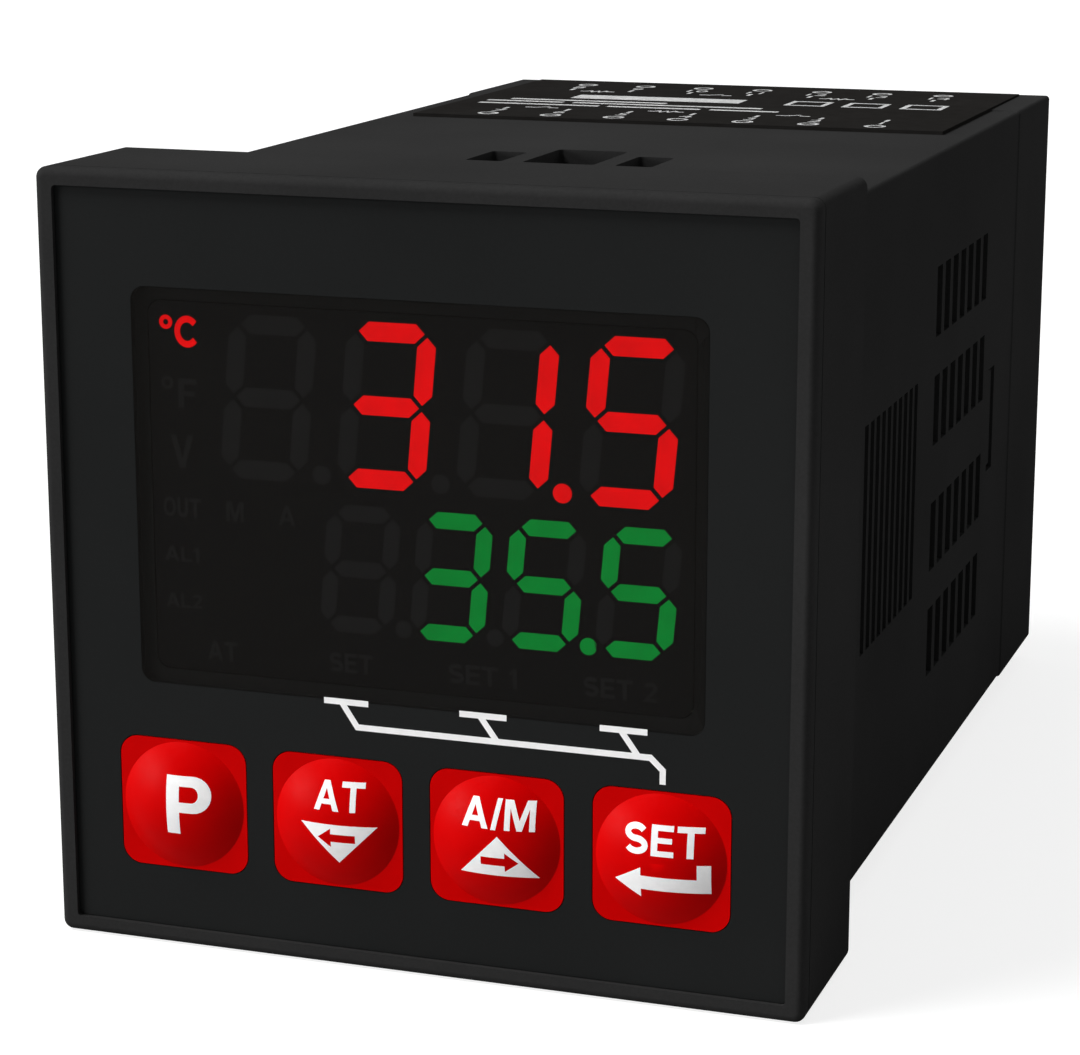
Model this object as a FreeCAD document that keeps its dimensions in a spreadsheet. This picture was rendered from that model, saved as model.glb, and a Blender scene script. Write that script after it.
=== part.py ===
import FreeCAD, Part
import Sketcher
import math
import os
import re

# A 1/16 DIN panel-mount temperature controller, in millimetres.
# X runs to the right, Y to the rear and Z up. The origin is the centre of the panel seat, which is the back of
# the flange, so the front stands at negative Y and the long body runs through the panel to positive Y.

drivingSizes = {
    # front frame and flange
    "front_width": 48.0,  # square front, over its outside
    "flange_depth": 11.1,  # front face to panel seat
    "bezel_depth": 1.2,  # front frame that shows ahead of its seam
    "front_corner": 0.65,  # rounding of the flange's long corners
    "front_edge": 0.5,  # rounding of the front outline
    "seam_chamfer": 0.12,
    "flange_wall": 1.6,
    "seat_wall": 1.6,  # thickness of the flange's back
    "flange_step": 1.85,  # flange, beyond the body on each side
    "skirt_gap": 0.2,  # skirt of the front frame to the flange
    "skirt_wall": 1.2,
    "catch_width": 7.0,
    "catch_height": 0.5,
    "catch_depth": 1.2,
    "catch_setback": 4.2,  # catch, behind the seam
    "catch_spread": 26.0,
    # front sheet
    "rim_side": 1.15,
    "rim_top": 1.05,
    "face_corner": 0.25,
    "overlay_recess": 0.3,
    "overlay_thick": 0.5,
    "overlay_gap": 0.05,
    "plate_thick": 1.3,
    # window, drawn around the two rows of digits
    "window_corner": 0.9,
    "window_x": -0.125,
    "window_ledge": 0.8,
    "lens_gap": 0.03,
    "annunciator_width": 5.345,  # room at the left of the digits
    "digit_top_margin": 1.435,
    "digit_row_gap": 1.095,
    "digit_bottom_margin": 4.12,
    "red_side_margin": 1.495,
    "green_side_margin": 1.57,
    # display
    "module_gap": 0.1,
    "module_setback": 0.05,  # module behind the window
    "digit_depth": 0.6,
    "digit_lean": 0.091,  # sideways lean of the digits for each unit of height
    "tip_gap": 0.18,
    "red_pitch": 7.5,
    "red_width": 4.46,
    "red_half_height": 4.39,
    "red_stroke": 1.15,
    "red_point_offset": 3.75,
    "red_point": 1.16,
    "green_pitch": 5.75,
    "green_width": 3.69,
    "green_half_height": 3.41,
    "green_stroke": 1.0,
    "green_point_offset": 3.04,
    "green_point": 1.04,
    # keys and their switches
    "key_row_margin": 1.5,  # key row to the skirt at each end
    "key_row_x": -0.1,
    "key_row_rise": 3.905,  # front sheet's lower edge to the keys
    "key_window_gap": 3.545,
    "key_spacing": 1.8,  # between neighbouring keys
    "key_shortfall": 0.15,  # key's height, less than its width
    "key_corner": 1.2,
    "key_gap": 0.06,
    "dome_margin": 0.2,
    "dome_height": 0.9,
    "lip_width": 0.45,  # retaining lip, beyond the key on each side
    "lip_thick": 0.6,
    "lip_gap": 0.1,  # lip to the plate that retains it
    "stem_diameter": 3.2,
    "stem_length": 0.6,
    "switch_width": 6.0,
    "switch_corner": 0.4,
    "plunger_diameter": 3.4,
    "plunger_length": 1.0,
    "plunger_sink": 0.9,  # plunger inside its switch
    "plunger_gap": 0.06,
    "plunger_room": 0.7,  # free depth behind the plunger
    # body
    "body_length": 58.4,  # panel seat to the rear seam
    "body_wall": 1.8,
    "body_corner": 0.3,
    "latch_setback": 8.6,  # latch window's front edge to the rear seam
    "latch_window_width": 2.1,
    "latch_window_height": 7.8,
    "vent_latch_gap": 2.2,
    "vent_width": 1.7,
    "vent_height": 4.85,
    "vent_pitch": 2.667,
    "vent_columns": 7,
    "inner_vent_z": 4.45,
    "outer_vent_z": 12.0,
    "louvre_gap": 5.4,  # louvres to the first column of vents
    "louvre_width": 1.0,
    "louvre_height": 14.8,
    "louvre_pitch": 1.6,
    "louvre_count": 10,
    "clamp_start": 15.5,
    "clamp_x": -0.15,
    "clamp_width": 4.9,
    "clamp_length": 7.8,
    "clamp_side_width": 2.5,
    "clamp_side_length": 5.4,
    "clamp_side_offset": 5.15,
    "clamp_corner": 0.3,
    "clamp_depth": 3.0,
    "clamp_floor": 1.0,
    "guide_height": 1.3,
    "guide_thick": 1.0,
    "guide_start": 4.0,
    "guide_end_gap": 1.4,  # guides to the rear cover's spigot
    # rear cover
    "cover_length": 12.7,
    "cover_proud": 0.1,  # cover, beyond the body on each side
    "cover_wall": 1.8,
    "spigot_gap": 0.1,
    "spigot_wall": 1.2,
    "spigot_length": 3.0,
    "spigot_root": 1.5,
    "latch_width": 7.2,
    "latch_lead": 1.2,  # latch arm, ahead of its window
    "latch_hook": 1.7,
    "latch_play": 0.2,
    "cell_count": 7,
    "cell_rib": 0.98,  # barrier between two cells
    "cell_margin": 0.2,  # cell, inside its block's outline
    "cell_depth": 2.0,
    "cell_floor": 1.2,
    "screw_margin": 0.3,  # screw head to the chamber's inner end
    "screw_well": 3.7,
    "wire_width": 3.3,
    "wire_height": 4.6,
    # terminals
    "block_gap": 0.15,  # block to the cover's spigot, above and below
    "block_side_gap": 0.81,  # block to the cover's spigot at each end
    "block_inner_z": 5.7,
    "block_wall": 0.9,
    "block_floor": 2.0,
    "chamber_rib": 0.88,
    "chamber_depth": 6.5,
    "clamp_plate": 0.9,
    "cage_gap": 0.25,  # clamp to the chamber's walls
    "cage_height": 5.0,
    "cage_wall": 0.5,
    "cage_length": 4.4,
    "screw_head": 3.4,
    "screw_head_height": 1.8,
    "screw_shank": 2.5,
    "screw_length": 5.4,
    "screw_slot": 0.6,
    "screw_slot_depth": 0.9,
    "screw_play": 0.05,
    # circuit boards and what stands on them
    "board_thick": 1.6,
    "board_gap": 0.1,  # board to its groove
    "board_end_gap": 0.2,
    "display_board_margin": 0.3,
    "board_spacing": 28.0,  # between the inner faces of the side boards
    "board_shoulder": 1.6,
    "header_width": 2.5,
    "header_length": 24.0,
    "header_depth": 2.6,
    "core_gap": 1.5,  # core, behind the header
    "core_width": 14.0,
    "core_length": 16.0,
    "core_thick": 6.0,
    "core_leg": 3.6,
    "core_yoke": 2.0,
    "winding_gap": 0.1,
    "winding_bulge": 3.0,
    "winding_corner": 1.5,
    "relay_setback": 3.05,  # relay to the side board's rear end
    "relay_height": 15.3,
    "relay_length": 20.5,
    "relay_width": 10.2,
    "relay_spacing": 16.4,
    "can_gap": 1.05,  # cans, ahead of the relays
    "input_can_diameter": 10.0,
    "input_can_length": 16.0,
    "input_can_z": 9.0,
    "output_can_diameter": 6.3,
    "output_can_length": 11.0,
    "output_can_z": -8.0,
    "can_groove": 0.4,
    "can_groove_place": 2.0,
    "chip_width": 12.0,
    "chip_height": 1.6,
    "chip_y": 12.0,
    # label
    "label_inset": 2.15,
    "label_rear_margin": 1.0,
    "label_length": 29.5,
    "label_thick": 0.15,
}

# Places and sizes that follow from the ones above.
derivedSizes = {
    "front_face": "(0 - flange_depth)",
    "overlay_face": "(front_face + overlay_recess)",
    "plate_front": "(overlay_face + overlay_thick)",
    "plate_back": "(plate_front + plate_thick)",
    "seam": "(front_face + bezel_depth)",
    "board_back": "(0 - seat_wall)",
    "board_front": "(board_back - board_thick)",
    "flange_inside": "(front_width - 2 * flange_wall)",
    "skirt_outside": "(flange_inside - 2 * skirt_gap)",
    "skirt_inside": "(skirt_outside - 2 * skirt_wall)",
    "face_width": "(front_width - 2 * rim_side)",
    "face_height": "(front_width - 2 * rim_top)",
    "key_pitch": "((skirt_inside - 2 * key_row_margin + key_spacing) / 4)",
    "key_width": "(key_pitch - key_spacing)",
    "key_height": "(key_width - key_shortfall)",
    "key_row_z": "(key_row_rise + key_height / 2 - face_height / 2)",
    "dome_diameter": "(key_width - 2 * dome_margin)",
    "red_row_width": "(3 * red_pitch + red_width + red_stroke + 2 * red_half_height * digit_lean)",
    "green_row_width": "(3 * green_pitch + green_width + green_stroke + 2 * green_half_height * digit_lean)",
    "red_row_height": "(2 * red_half_height + red_stroke)",
    "green_row_height": "(2 * green_half_height + green_stroke)",
    "window_width": "(annunciator_width + red_row_width + red_side_margin)",
    "digits_height": "(red_row_height + digit_row_gap + green_row_height)",
    "window_height": "(digit_top_margin + digits_height + digit_bottom_margin)",
    "window_z": "(key_row_z + key_height / 2 + key_window_gap + window_height / 2)",
    "red_x": "(window_x + window_width / 2 - red_side_margin - red_row_width / 2)",
    "red_z": "(window_z + window_height / 2 - digit_top_margin - red_row_height / 2)",
    "green_x": "(window_x + window_width / 2 - green_side_margin - green_row_width / 2)",
    "green_z": "(window_z - window_height / 2 + digit_bottom_margin + green_row_height / 2)",
    "module_face": "(plate_front + module_setback)",
    "module_width": "(window_width - 2 * window_ledge - 2 * module_gap)",
    "module_height": "(window_height - 2 * window_ledge - 2 * module_gap)",
    "lip_front": "(plate_back + lip_gap)",
    "lip_back": "(lip_front + lip_thick)",
    "plunger_face": "(lip_back + stem_length)",
    "switch_face": "(plunger_face + plunger_length)",
    "body_width": "(front_width - 2 * flange_step)",
    "body_inside": "(body_width - 2 * body_wall)",
    "latch_window_start": "(body_length - latch_setback)",
    "vents_length": "((vent_columns - 1) * vent_pitch + vent_width)",
    "vent_start": "(latch_window_start - vent_latch_gap - vents_length)",
    "louvres_length": "((louvre_count - 1) * louvre_pitch + louvre_width)",
    "louvre_start": "(vent_start - louvre_gap - louvres_length)",
    "cover_width": "(body_width + 2 * cover_proud)",
    "rear_face": "(body_length + cover_length)",
    "cover_plate": "(rear_face - cell_depth - cell_floor)",
    "spigot_outside": "(body_inside - 2 * spigot_gap)",
    "spigot_inside": "(spigot_outside - 2 * spigot_wall)",
    "spigot_front": "(body_length - spigot_length)",
    "guide_end": "(spigot_front - guide_end_gap)",
    "chamber_floor": "(cover_plate - chamber_depth)",
    "block_front": "(chamber_floor - block_floor)",
    "block_outer_z": "(spigot_inside / 2 - block_gap)",
    "block_height": "(block_outer_z - block_inner_z)",
    "block_width": "(spigot_inside - 2 * block_side_gap)",
    "cell_pitch": "((block_width - 2 * block_wall + chamber_rib) / cell_count)",
    "cell_z": "((block_outer_z + block_inner_z) / 2)",
    "cell_width": "(cell_pitch - cell_rib)",
    "cell_height": "(block_height - 2 * cell_margin)",
    "chamber_width": "(cell_pitch - chamber_rib)",
    "chamber_height": "(block_height - 2 * block_wall)",
    "screw_z": "(cell_z - chamber_height / 2 + screw_margin + screw_head / 2)",
    "wire_z": "(cell_z + chamber_height / 2 - cage_gap - cage_height / 2)",
    "cage_width": "(chamber_width - 2 * cage_gap)",
    "terminal_board_front": "(block_front - board_thick)",
    "side_board_end": "(terminal_board_front - board_end_gap)",
    "board_inner": "(board_spacing / 2)",
    "board_outer": "(board_inner + board_thick)",
    "core_y": "(board_back + header_depth + core_gap + core_length / 2)",
    "relay_y": "(side_board_end - relay_setback - relay_length / 2)",
    "can_y": "(relay_y - relay_length / 2 - can_gap - input_can_diameter / 2)",
    "label_width": "(body_width - 2 * label_inset)",
    "label_start": "(rear_face - label_rear_margin - label_length)",
}

keyNames = ["program", "down", "up", "set"]

doc = FreeCAD.newDocument("pid_temperature_controller")
sheet = doc.addObject("Spreadsheet::Sheet", "sizes")
nodes = []


def fillSheet():
    for row, (alias, size) in enumerate(drivingSizes.items(), start=1):
        sheet.set(f"A{row}", alias)
        sheet.set(f"B{row}", str(size))
        sheet.setAlias(f"B{row}", alias)
    doc.recompute()


# An expression in the sheet's own words, with derived names written out.
def spelled(text):
    def word(match):
        name = match.group(0)
        if name in derivedSizes:
            return spelled(derivedSizes[name])
        return f"sizes.{name}" if name in drivingSizes else name

    return re.sub(r"[a-z]\w*", word, str(text))


def value(text):
    return float(sheet.evalExpression(spelled(text)))


def bind(item, prop, text):
    item.setExpression(prop, spelled(text))


def place(item, x="0", y="0", z="0"):
    bind(item, "Placement.Base.x", x)
    bind(item, "Placement.Base.y", y)
    bind(item, "Placement.Base.z", z)


# ---- sketches and features ----
def newBody(label):
    body = doc.addObject("PartDesign::Body", label)
    body.Label = label
    body.AllowCompound = True
    nodes.append(body)
    return body


def originFeature(body, role):
    return next(item for item in body.Origin.OriginFeatures if item.Role == role)


# A sketch across X, Y or Z at a place on that axis. Across Y its own axes are X and Z, across X they are Y and Z.
def sketchAcross(axis, at, body, name):
    roles = {"x": "YZ_Plane", "y": "XZ_Plane", "z": "XY_Plane"}
    sketch = body.newObject("Sketcher::SketchObject", name)
    sketch.AttachmentSupport = [(originFeature(body, roles[axis]), "")]
    sketch.MapMode = "FlatFace"
    bind(sketch, "AttachmentOffset.Base.z", f"0 - ({at})" if axis == "y" else at)
    return sketch


def dimension(sketch, kind, line, end, text):
    index = sketch.addConstraint(Sketcher.Constraint(kind, -1, 1, line, end, value(text)))
    bind(sketch, f"Constraints[{index}]", text)


# Straight outline through corners given as pairs of expressions.
def outline(sketch, corners):
    first = sketch.GeometryCount
    count = len(corners)
    points = [FreeCAD.Vector(value(across), value(up), 0) for across, up in corners]
    for index in range(count):
        sketch.addGeometry(Part.LineSegment(points[index], points[(index + 1) % count]))
    for index in range(count):
        following = first + (index + 1) % count
        sketch.addConstraint(Sketcher.Constraint("Coincident", first + index, 2, following, 1))
    for index, (across, up) in enumerate(corners):
        dimension(sketch, "DistanceX", first + index, 1, across)
        dimension(sketch, "DistanceY", first + index, 1, up)


def rectangle(sketch, width, height, across="0", up="0"):
    left, right = f"{across} - ({width}) / 2", f"{across} + ({width}) / 2"
    low, high = f"{up} - ({height}) / 2", f"{up} + ({height}) / 2"
    outline(sketch, [(left, low), (right, low), (right, high), (left, high)])


def roundedRectangle(sketch, width, height, corner, across="0", up="0"):
    left, right = value(f"{across} - ({width}) / 2"), value(f"{across} + ({width}) / 2")
    low, high = value(f"{up} - ({height}) / 2"), value(f"{up} + ({height}) / 2")
    radius = value(corner)
    first = sketch.GeometryCount
    centres = [(right - radius, low + radius), (right - radius, high - radius)]
    centres += [(left + radius, high - radius), (left + radius, low + radius)]
    arcs = []
    for index, (x, y) in enumerate(centres):
        circle = Part.Circle(FreeCAD.Vector(x, y, 0), FreeCAD.Vector(0, 0, 1), radius)
        start = (index - 1) * math.pi / 2
        arcs.append(Part.ArcOfCircle(circle, start, start + math.pi / 2))
    for index, arc in enumerate(arcs):
        sketch.addGeometry(Part.LineSegment(arcs[index - 1].EndPoint, arc.StartPoint))
        sketch.addGeometry(arc)
    for index in range(4):
        line, arc, following = first + 2 * index, first + 2 * index + 1, first + (2 * index + 2) % 8
        sketch.addConstraint(Sketcher.Constraint("Tangent", line, 2, arc, 1))
        sketch.addConstraint(Sketcher.Constraint("Tangent", arc, 2, following, 1))
        sketch.addConstraint(Sketcher.Constraint("Vertical" if index % 2 else "Horizontal", line))
    for arc in (first + 3, first + 5, first + 7):
        sketch.addConstraint(Sketcher.Constraint("Equal", first + 1, arc))
    index = sketch.addConstraint(Sketcher.Constraint("Radius", first + 1, radius))
    bind(sketch, f"Constraints[{index}]", corner)
    dimension(sketch, "DistanceY", first, 1, f"{up} - ({height}) / 2")
    dimension(sketch, "DistanceX", first + 2, 1, f"{across} + ({width}) / 2")
    dimension(sketch, "DistanceY", first + 4, 1, f"{up} + ({height}) / 2")
    dimension(sketch, "DistanceX", first + 6, 1, f"{across} - ({width}) / 2")


def circle(sketch, diameter, across="0", up="0"):
    centre = FreeCAD.Vector(value(across), value(up), 0)
    line = sketch.addGeometry(Part.Circle(centre, FreeCAD.Vector(0, 0, 1), value(diameter) / 2))
    index = sketch.addConstraint(Sketcher.Constraint("Diameter", line, value(diameter)))
    bind(sketch, f"Constraints[{index}]", diameter)
    dimension(sketch, "DistanceX", line, 3, across)
    dimension(sketch, "DistanceY", line, 3, up)


# Pad or Pocket of a sketch, towards the positive end of its axis unless told otherwise.
def extrude(feature, body, name, sketch, length, positive=True):
    step = body.newObject(f"PartDesign::{feature}", name)
    step.Profile = sketch
    bind(step, "Length", length)
    normalIsPositive = sketch.AttachmentSupport[0][0].Role != "XZ_Plane"
    growsAlongNormal = feature == "Pad"
    step.Reversed = (normalIsPositive == growsAlongNormal) != positive
    sketch.Visibility = False
    return step


def pad(body, name, sketch, length, positive=True):
    return extrude("Pad", body, name, sketch, length, positive)


def pocket(body, name, sketch, length, positive=True):
    return extrude("Pocket", body, name, sketch, length, positive)


def throughBothSides(body, name, sketch):
    step = pocket(body, name, sketch, "2 * front_width")
    step.Midplane = True
    return step


def repeatAlong(body, name, steps, axis, length, count):
    pattern = body.newObject("PartDesign::LinearPattern", name)
    pattern.Originals = steps
    pattern.Direction = (originFeature(body, axis), [""])
    bind(pattern, "Length", length)
    bind(pattern, "Occurrences", count)
    body.Tip = pattern
    return pattern


def dressEdges(kind, prop, body, name, step, size, chosen):
    doc.recompute()
    edges = [f"Edge{index}" for index, edge in enumerate(step.Shape.Edges, start=1) if chosen(edge)]
    dress = body.newObject(f"PartDesign::{kind}", name)
    dress.Base = (step, edges)
    bind(dress, prop, size)
    return dress


def fillet(body, name, step, radius, chosen):
    return dressEdges("Fillet", "Radius", body, name, step, radius, chosen)


def chamfer(body, name, step, size, chosen):
    return dressEdges("Chamfer", "Size", body, name, step, size, chosen)


# Whether an edge lies in the plane y = at, on or beyond a half width from the middle.
def outerEdgeAt(at, halfWidth):
    def chosen(edge):
        box = edge.BoundBox
        reach = max(abs(box.XMin), abs(box.XMax), abs(box.ZMin), abs(box.ZMax))
        flat = abs(box.YMin - value(at)) < 1e-4 and abs(box.YMax - value(at)) < 1e-4
        return flat and reach > value(halfWidth)

    return chosen


# ---- front ----
def keyPlace(index):
    return f"key_row_x + {index - 1.5} * key_pitch"


def keyOpenings(sketch):
    for index in range(len(keyNames)):
        width, height, corner = "key_width + 2 * key_gap", "key_height + 2 * key_gap", "key_corner + key_gap"
        roundedRectangle(sketch, width, height, corner, keyPlace(index), "key_row_z")


# Catches of the front frame stand on the top and bottom of its skirt; grown leaves room for them in the flange.
def catchOutlines(sketch, grown):
    for side in (-1, 1):
        for row in (-1, 1):
            width, height = f"catch_width + 2 * {grown}", f"2 * (catch_height + {grown})"
            level = f"{row} * skirt_outside / 2"
            rectangle(sketch, width, height, f"{side} * catch_spread / 2", level)


def makeFrontBezel():
    body = newBody("front_bezel")
    frame = sketchAcross("y", "front_face", body, "frame_outline")
    roundedRectangle(frame, "front_width", "front_width", "front_corner")
    pad(body, "frame", frame, "bezel_depth")
    recess = sketchAcross("y", "front_face", body, "recess_outline")
    roundedRectangle(recess, "face_width", "face_height", "face_corner")
    pocket(body, "recess", recess, "overlay_recess + overlay_thick")
    plate = sketchAcross("y", "seam", body, "plate_outline")
    rectangle(plate, "skirt_outside", "skirt_outside")
    pad(body, "plate", plate, "plate_back - seam")
    skirt = sketchAcross("y", "plate_back", body, "skirt_outline")
    rectangle(skirt, "skirt_outside", "skirt_outside")
    rectangle(skirt, "skirt_inside", "skirt_inside")
    pad(body, "skirt", skirt, "board_front - plate_back")
    catches = sketchAcross("y", "seam + catch_setback", body, "catch_outlines")
    catchOutlines(catches, "0")
    pad(body, "catches", catches, "catch_depth")
    openings = sketchAcross("y", "plate_front", body, "opening_outlines")
    opening = "window_width - 2 * window_ledge", "window_height - 2 * window_ledge"
    roundedRectangle(openings, *opening, "window_corner", "window_x", "window_z")
    keyOpenings(openings)
    step = pocket(body, "openings", openings, "plate_thick")
    rim = outerEdgeAt("front_face", "front_width / 2 - front_corner - 0.1")
    step = fillet(body, "front_rounding", step, "front_edge", rim)
    seam = outerEdgeAt("seam", "front_width / 2 - front_corner - 0.1")
    chamfer(body, "seam_bevel", step, "seam_chamfer", seam)


def makeFrontOverlay():
    body = newBody("front_overlay")
    sheetOutline = sketchAcross("y", "overlay_face", body, "sheet_outline")
    width, height = "face_width - 2 * overlay_gap", "face_height - 2 * overlay_gap"
    roundedRectangle(sheetOutline, width, height, "face_corner - overlay_gap")
    roundedRectangle(sheetOutline, "window_width", "window_height", "window_corner", "window_x", "window_z")
    keyOpenings(sheetOutline)
    pad(body, "sheet", sheetOutline, "overlay_thick")


def makeDisplayWindow():
    body = newBody("display_window")
    pane = sketchAcross("y", "overlay_face", body, "pane_outline")
    width, height = "window_width - 2 * lens_gap", "window_height - 2 * lens_gap"
    roundedRectangle(pane, width, height, "window_corner - lens_gap", "window_x", "window_z")
    pad(body, "pane", pane, "overlay_thick")


# ---- keys ----
def makeKeyCap(index, name):
    body = newBody(f"key_{name}")
    cap = sketchAcross("y", "overlay_face", body, "cap_outline")
    roundedRectangle(cap, "key_width", "key_height", "key_corner")
    pad(body, "cap", cap, "lip_front - overlay_face")
    lip = sketchAcross("y", "lip_front", body, "lip_outline")
    width, height = "key_width + 2 * lip_width", "key_height + 2 * lip_width"
    roundedRectangle(lip, width, height, "key_corner + lip_width")
    pad(body, "lip", lip, "lip_thick")
    stem = sketchAcross("y", "lip_back", body, "stem_outline")
    circle(stem, "stem_diameter")
    pad(body, "stem", stem, "plunger_face - lip_back")
    dome = body.newObject("PartDesign::AdditiveSphere", "dome")
    dome.AttachmentSupport = [(originFeature(body, "XZ_Plane"), "")]
    dome.MapMode = "FlatFace"
    radius = "((dome_diameter ^ 2 / 4 + dome_height ^ 2) / (2 * dome_height))"
    bind(dome, "Radius", radius)
    bind(dome, "Angle1", f"asin(({radius} - dome_height) / {radius})")
    dome.Angle2 = 90
    bind(dome, "AttachmentOffset.Base.z", f"0 - overlay_face - ({radius} - dome_height)")
    place(body, x=keyPlace(index), z="key_row_z")


def makeSwitchBase(index, name):
    body = newBody(f"switch_base_{name}")
    base = sketchAcross("y", "switch_face", body, "base_outline")
    roundedRectangle(base, "switch_width", "switch_width", "switch_corner")
    pad(body, "base", base, "board_front - switch_face")
    bore = sketchAcross("y", "switch_face", body, "bore_outline")
    circle(bore, "plunger_diameter + 2 * plunger_gap")
    pocket(body, "bore", bore, "plunger_sink + plunger_room")
    place(body, x=keyPlace(index), z="key_row_z")


def makeSwitchPlunger(index, name):
    label = f"switch_plunger_{name}"
    plunger = doc.addObject("Part::Cylinder", label)
    plunger.Label = label
    bind(plunger, "Radius", "plunger_diameter / 2")
    bind(plunger, "Height", "plunger_length + plunger_sink")
    place(plunger, keyPlace(index), "switch_face + plunger_sink", "key_row_z")
    plunger.Placement.Rotation = FreeCAD.Rotation(FreeCAD.Vector(1, 0, 0), 90)
    nodes.append(plunger)


# ---- display ----
# One segment: a bar between two corners of a digit, with a pointed tip at each end.
def segment(start, end, stroke, tipGap):
    along = (end - start).normalize()
    aside = FreeCAD.Vector(-along.z, 0, along.x) * (stroke / 2)
    tip, shoulder = along * tipGap, along * (tipGap + stroke / 2)
    points = [start + tip, start + shoulder + aside, end - shoulder + aside]
    points += [end - tip, end - shoulder - aside, start + shoulder - aside]
    return points


# A row of four slanted seven-segment digits with a point between each pair, as separate solids.
def makeDigits(colour):
    width, half = value(f"{colour}_width"), value(f"{colour}_half_height")
    stroke, tipGap, depth = value(f"{colour}_stroke"), value("tip_gap"), value("digit_depth")
    lean = value("digit_lean")
    face = value("module_face")
    corner = [[FreeCAD.Vector(x * width / 2, 0, z * half) for z in (-1, 0, 1)] for x in (-1, 1)]
    bars = [(corner[0][level], corner[1][level]) for level in range(3)]
    bars += [(corner[side][level], corner[side][level + 1]) for side in range(2) for level in range(2)]
    solids = []
    for digit in range(4):
        middle = value(f"{colour}_x + {digit - 1.5} * {colour}_pitch")

        def onFace(point):
            return FreeCAD.Vector(middle + point.x + point.z * lean, face, value(f"{colour}_z") + point.z)

        for start, end in bars:
            points = [onFace(point) for point in segment(start, end, stroke, tipGap)]
            wire = Part.makePolygon(points + points[:1])
            solids.append(Part.Face(wire).extrude(FreeCAD.Vector(0, depth, 0)))
        if digit < 3:
            centre = onFace(FreeCAD.Vector(value(f"{colour}_point_offset"), 0, -half))
            radius = value(f"{colour}_point") / 2
            solids.append(Part.makeCylinder(radius, depth, centre, FreeCAD.Vector(0, 1, 0)))
    digits = doc.addObject("Part::Feature", f"{colour}_digits")
    digits.Shape = Part.makeCompound(solids)
    digits.Label = f"{colour}_digits"
    nodes.append(digits)
    return digits


def makeDisplayModule(digitRows):
    block = newBody("display_block")
    nodes.remove(block)
    face = sketchAcross("y", "module_face", block, "face_outline")
    corner = "window_corner - module_gap"
    roundedRectangle(face, "module_width", "module_height", corner, "window_x", "window_z")
    pad(block, "moulding", face, "board_front - module_face")
    wells = doc.addObject("Part::Compound", "segment_wells")
    wells.Links = digitRows
    module = doc.addObject("Part::Cut", "display_module")
    module.Base = block
    module.Tool = wells
    module.Label = "display_module"
    nodes.append(module)


# ---- body ----
def clampWindows(sketch, growth, corner):
    lengths = ["clamp_side_length", "clamp_length", "clamp_side_length"]
    widths = ["clamp_side_width", "clamp_width", "clamp_side_width"]
    for index in range(3):
        across = f"clamp_x + {index - 1} * clamp_side_offset"
        middle = f"clamp_start + {lengths[index]} / 2"
        width, length = f"{widths[index]} + 2 * {growth}", f"{lengths[index]} + 2 * {growth}"
        roundedRectangle(sketch, width, length, corner, across, middle)


def makeHousing():
    body = newBody("housing")
    walls = sketchAcross("y", "seam", body, "flange_outline")
    roundedRectangle(walls, "front_width", "front_width", "front_corner")
    rectangle(walls, "flange_inside", "flange_inside")
    pad(body, "flange_walls", walls, "board_back - seam")
    seat = sketchAcross("y", "board_back", body, "seat_outline")
    roundedRectangle(seat, "front_width", "front_width", "front_corner")
    rectangle(seat, "body_inside", "body_inside")
    pad(body, "seat", seat, "seat_wall")
    tube = sketchAcross("y", "0", body, "tube_outline")
    roundedRectangle(tube, "body_width", "body_width", "body_corner")
    rectangle(tube, "body_inside", "body_inside")
    pad(body, "tube", tube, "body_length")
    addGuides(body)
    addClampPockets(body)
    grooves = sketchAcross("y", "seam + catch_setback - skirt_gap", body, "catch_grooves")
    catchOutlines(grooves, "skirt_gap")
    pocket(body, "catch_groove", grooves, "catch_depth + 2 * skirt_gap")
    addVents(body)


# Ribs on the floor and ceiling that hold the edges of the two side boards.
def addGuides(body):
    guides = sketchAcross("y", "guide_start", body, "guide_outlines")
    for side in (-1, 1):
        for row in (-1, 1):
            for face in ("board_inner - board_gap - guide_thick / 2", "board_outer + board_gap + guide_thick / 2"):
                level = f"{row} * (body_inside - guide_height) / 2"
                rectangle(guides, "guide_thick", "guide_height", f"{side} * ({face})", level)
    pad(body, "guides", guides, "guide_end - guide_start")


# Blind windows in the top and bottom walls that take the hooks of the mounting clamps.
def addClampPockets(body):
    for side in (-1, 1):
        word = "top" if side > 0 else "bottom"
        wall = f"{side} * body_inside / 2"
        surface = f"{side} * body_width / 2"
        boss = sketchAcross("z", wall, body, f"{word}_boss_outline")
        width = "2 * clamp_side_offset + clamp_side_width + 2 * clamp_floor"
        rectangle(boss, width, "clamp_length + 2 * clamp_floor", "clamp_x", "clamp_start + clamp_length / 2")
        pad(body, f"{word}_boss", boss, "clamp_depth + clamp_floor - body_wall", positive=side < 0)
        window = sketchAcross("z", surface, body, f"{word}_window_outlines")
        clampWindows(window, "0", "clamp_corner")
        pocket(body, f"{word}_windows", window, "clamp_depth", positive=side < 0)


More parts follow.
